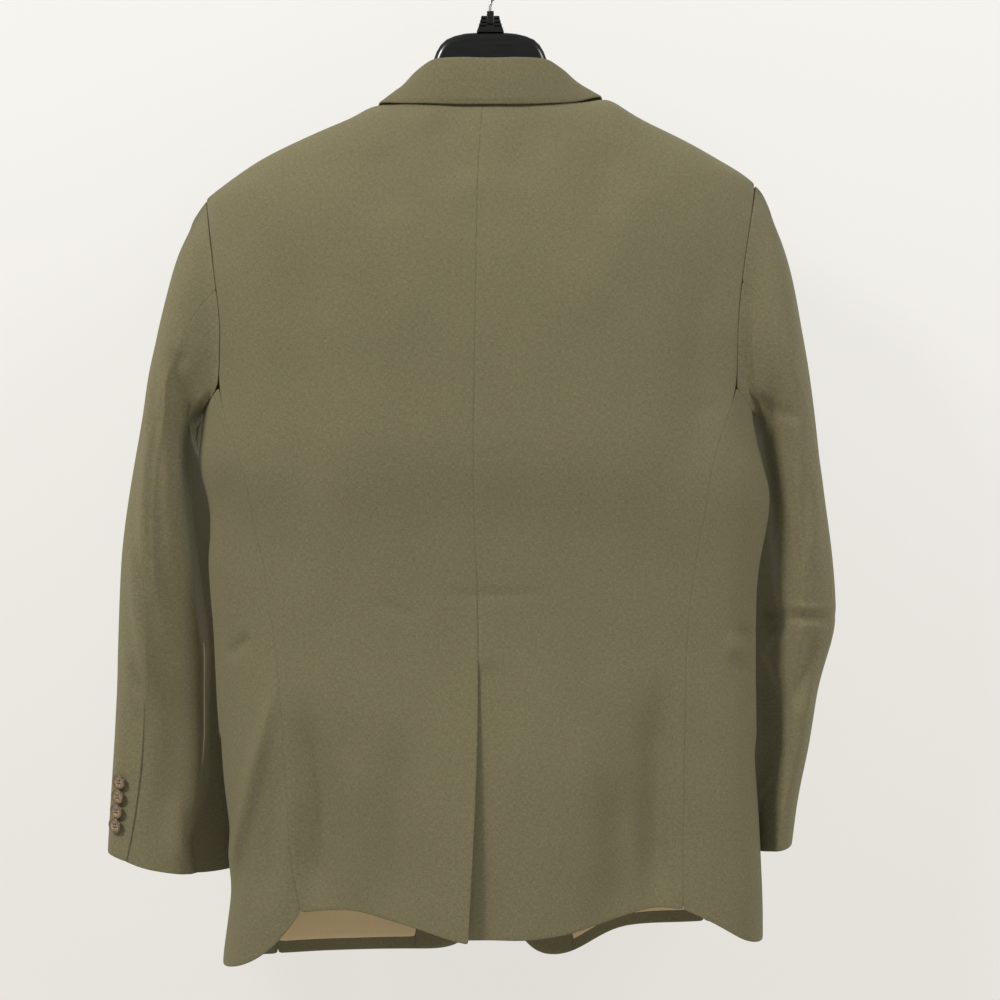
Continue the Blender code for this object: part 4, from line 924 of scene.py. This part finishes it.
def button_blank():
    """Mesh of a four-hole button, 15 mm across, its back at zero height."""
    bm = bmesh.new()
    verts = [bm.verts.new((r / 1000.0, 0.0, h / 1000.0)) for r, h in BUTTON_SECTION]
    edges = [bm.edges.new(pair) for pair in zip(verts[:-1], verts[1:])]
    bmesh.ops.spin(bm, geom=verts + edges, axis=(0, 0, 1), cent=(0, 0, 0), angle=math.tau,
                   steps=40, use_merge=True)
    bmesh.ops.remove_doubles(bm, verts=bm.verts, dist=1e-6)
    body = settle(bm, "button_blank", 40)
    bm = bmesh.new()
    for x in (-HOLE_OFF, HOLE_OFF):
        for y in (-HOLE_OFF, HOLE_OFF):
            bmesh.ops.create_cone(bm, cap_ends=True, segments=14, radius1=HOLE_RADIUS,
                                  radius2=HOLE_RADIUS, depth=0.006,
                                  matrix=Matrix.Translation((x, y, 0.001)))
    holes = settle(bm, "button_holes", 40)
    cutter = body.modifiers.new("holes", "BOOLEAN")
    cutter.operation = "DIFFERENCE"
    cutter.solver = "EXACT"
    cutter.object = holes
    settled = body.evaluated_get(bpy.context.evaluated_depsgraph_get())
    mesh = bpy.data.meshes.new_from_object(settled)
    bpy.data.objects.remove(body)
    bpy.data.objects.remove(holes)
    points = points_of(mesh)
    radius = np.hypot(points[:, 0], points[:, 1])
    # darker towards the edge: painted shade of the button's rounded rim
    shade = np.interp(radius, (0.0046, 0.0056, BUTTON_RADIUS), (1.0, 0.62, 0.45))
    layer = mesh.color_attributes.new("rim", "FLOAT_COLOR", "POINT")
    rows = np.ones((len(points), 4))
    rows[:, :3] = shade[:, None]
    layer.data.foreach_set("color", rows.ravel())
    return mesh


def button_seat(node, outward):
    """Middle, facing and size of a button from its solid."""
    points = points_of(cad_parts[node].data)
    middle = (points.min(axis=0) + points.max(axis=0)) / 2.0
    axes = np.linalg.svd(points - middle, full_matrices=False)[2]
    facing = axes[2]
    if facing @ outward(middle[None, :])[0] < 0:
        facing = -facing
    reach = np.max(np.linalg.norm(points - middle, axis=1))
    return middle, facing, reach


def make_buttons(horn, thread, middles):
    """Buttons with four holes, each sewn on with two strands."""
    blank = button_blank()
    spots = []
    for node in sorted(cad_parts):
        if "button" not in node:
            continue
        word = "left" if "left" in node else "right"
        if node.startswith("front"):
            middle, facing, reach = button_seat(node, lambda at: np.array(((0.0, 1.0, 0.0),)))
            moved = body_shift(middle[None, :], "front_left")[0]
        else:
            outward = lambda at, line=middles[word]: sleeve_outward(at, line)
            middle, facing, reach = button_seat(node, outward)
            moved = sleeve_shift(middle[None, :], word, middles[word])[0]
        up = np.array((0.0, 0.0, 1.0)) - facing[2] * facing
        up = up / np.linalg.norm(up)
        across = np.cross(up, facing)
        size = reach / math.hypot(BUTTON_RADIUS, BUTTON_MIDDLE)
        base = moved - facing * BUTTON_MIDDLE * size
        points = points_of(blank) * size
        mesh = blank.copy()
        put_points(mesh, base + points @ np.stack((across, up, facing)))
        mesh.name = node + "_horn"
        hand_over(new_object(node + "_horn", mesh), horn, "horn", node)
        for side in (-1.0, 1.0):
            top = base + (up * side * HOLE_OFF + facing * 0.00140) * size
            spots.append((top, across, facing, 0.0037 * size, 0.0008 * size, 0.0007 * size))
    bpy.data.meshes.remove(blank)
    make_stitches("button_threads", spots, thread)


def make_stitches(name, spots, thread):
    """One mesh of small stitches: place, way, outward, length, width, height."""
    bm = bmesh.new()
    for place, way, outward, length, width, height in spots:
        turn = Matrix((way, np.cross(outward, way), outward)).transposed().to_4x4()
        grow = Matrix.Diagonal((length / 2.0, width / 2.0, height / 2.0, 1.0))
        bmesh.ops.create_icosphere(bm, subdivisions=1, radius=1.0,
                                   matrix=Matrix.Translation(place) @ turn @ grow)
    hand_over(settle(bm, name, 80), thread, "suiting")


def lower_edge_spots(obj, face, low, high, inside, step):
    """Places for stitches a little above a piece's lower edge, found with rays."""
    tree = BVHTree.FromObject(obj, bpy.context.evaluated_depsgraph_get())
    line = []
    for x in np.arange(low[0], high[0], step):
        start = None
        for z in np.arange(low[1], high[1], 0.0005):
            if tree.ray_cast((x, face * 0.4, z), (0.0, -face, 0.0))[0] is not None:
                start = z
                break
        if start is None:
            continue
        spot, normal, _, _ = tree.ray_cast((x, face * 0.4, start + inside), (0.0, -face, 0.0))
        if spot is not None:
            line.append((np.array(spot), np.array(normal)))
    return line


def make_stitching(collar, thread):
    """Fine stitches along the collar's lower edge at the back."""
    line = lower_edge_spots(collar, -1.0, (-0.110, -0.165), (0.112, -0.100), 0.0040, 0.0030)
    spots = []
    for (spot, normal), (after, _) in zip(line[:-1], line[1:]):
        way = after - spot
        if np.linalg.norm(way) > 0.006:
            continue
        way = way / np.linalg.norm(way)
        outward = normal - (normal @ way) * way
        outward = outward / np.linalg.norm(outward)
        spots.append((spot + outward * 0.00005, way, outward, *STITCH))
    make_stitches("collar_stitches", spots, thread)


# ---------------------------------------------------------------- studio

def area_light(name, place, target, size, power, tint):
    """A soft square lamp turned to a target."""
    data = bpy.data.lights.new(name, "AREA")
    data.shape = "SQUARE"
    data.size = size
    data.energy = power
    data.color = tint
    lamp = bpy.data.objects.new(name, data)
    bpy.context.scene.collection.objects.link(lamp)
    lamp.location = place
    lamp.rotation_euler = (Vector(target) - Vector(place)).to_track_quat("-Z", "Y").to_euler()


def one_sided(material):
    """Let the wall be seen and lit from its room side only."""
    tree = material.node_tree
    end = tree.nodes["Material Output"]
    surface = tree.nodes["Principled BSDF"]
    clear = tree.nodes.new("ShaderNodeBsdfTransparent")
    side = tree.nodes.new("ShaderNodeNewGeometry")
    pick = tree.nodes.new("ShaderNodeMixShader")
    tree.links.new(side.outputs["Backfacing"], pick.inputs[0])
    tree.links.new(surface.outputs[0], pick.inputs[1])
    tree.links.new(clear.outputs[0], pick.inputs[2])
    tree.links.new(pick.outputs[0], end.inputs["Surface"])


def make_studio():
    """Pale wall and floor, soft light and the camera."""
    wall = pale_paint("pale_wall", WALL_GLOW_SHADED_LOW, WALL_GLOW_LIT_HIGH)
    floor = pale_paint("pale_floor", FLOOR_GLOW, FLOOR_GLOW)
    for name, turn, place, finish in (("wall", "X", (0.0, WALL_Y, 0.0), wall),
                                      ("floor", None, (0.0, 0.0, FLOOR_Z), floor)):
        bm = bmesh.new()
        bmesh.ops.create_grid(bm, x_segments=2, y_segments=2, size=ROOM_HALF)
        if turn:
            bmesh.ops.rotate(bm, cent=(0, 0, 0), verts=bm.verts,
                             matrix=Matrix.Rotation(math.radians(90), 3, turn))
        bmesh.ops.translate(bm, vec=place, verts=bm.verts)
        mesh = bpy.data.meshes.new(name)
        bm.to_mesh(mesh)
        bm.free()
        obj = new_object(name, mesh)
        mesh.materials.append(finish)
        if turn:
            one_sided(finish)
            obj.visible_shadow = False
            obj.visible_glossy = False
    for lamp in LAMPS:
        area_light(*lamp)
    world = bpy.data.worlds.new("studio")
    bpy.context.scene.world = world
    world.use_nodes = True
    sky = world.node_tree.nodes["Background"]
    sky.inputs[0].default_value = SKY_TINT
    sky.inputs[1].default_value = SKY_STRENGTH
    bpy.context.scene.view_settings.view_transform = "Standard"
    data = bpy.data.cameras.new("camera")
    data.lens = LENS
    data.sensor_width = 36.0
    data.clip_start = 0.05
    camera = bpy.data.objects.new("camera", data)
    bpy.context.scene.collection.objects.link(camera)
    camera.location = CAMERA_PLACE
    camera.rotation_euler = (math.radians(90.0), 0.0, 0.0)
    bpy.context.scene.camera = camera


def main():
    """Dress the part and light it."""
    olive = olive_worsted()
    tan = tan_lining()
    thread = olive_thread()
    middles = {word: sleeve_middle(word) for word in ("left", "right")}
    collar = make_cloth(olive, tan, middles)
    make_hanger(satin_black(), bright_wire())
    make_buttons(brown_horn(), thread, middles)
    make_stitching(collar, thread)
    make_studio()


main()
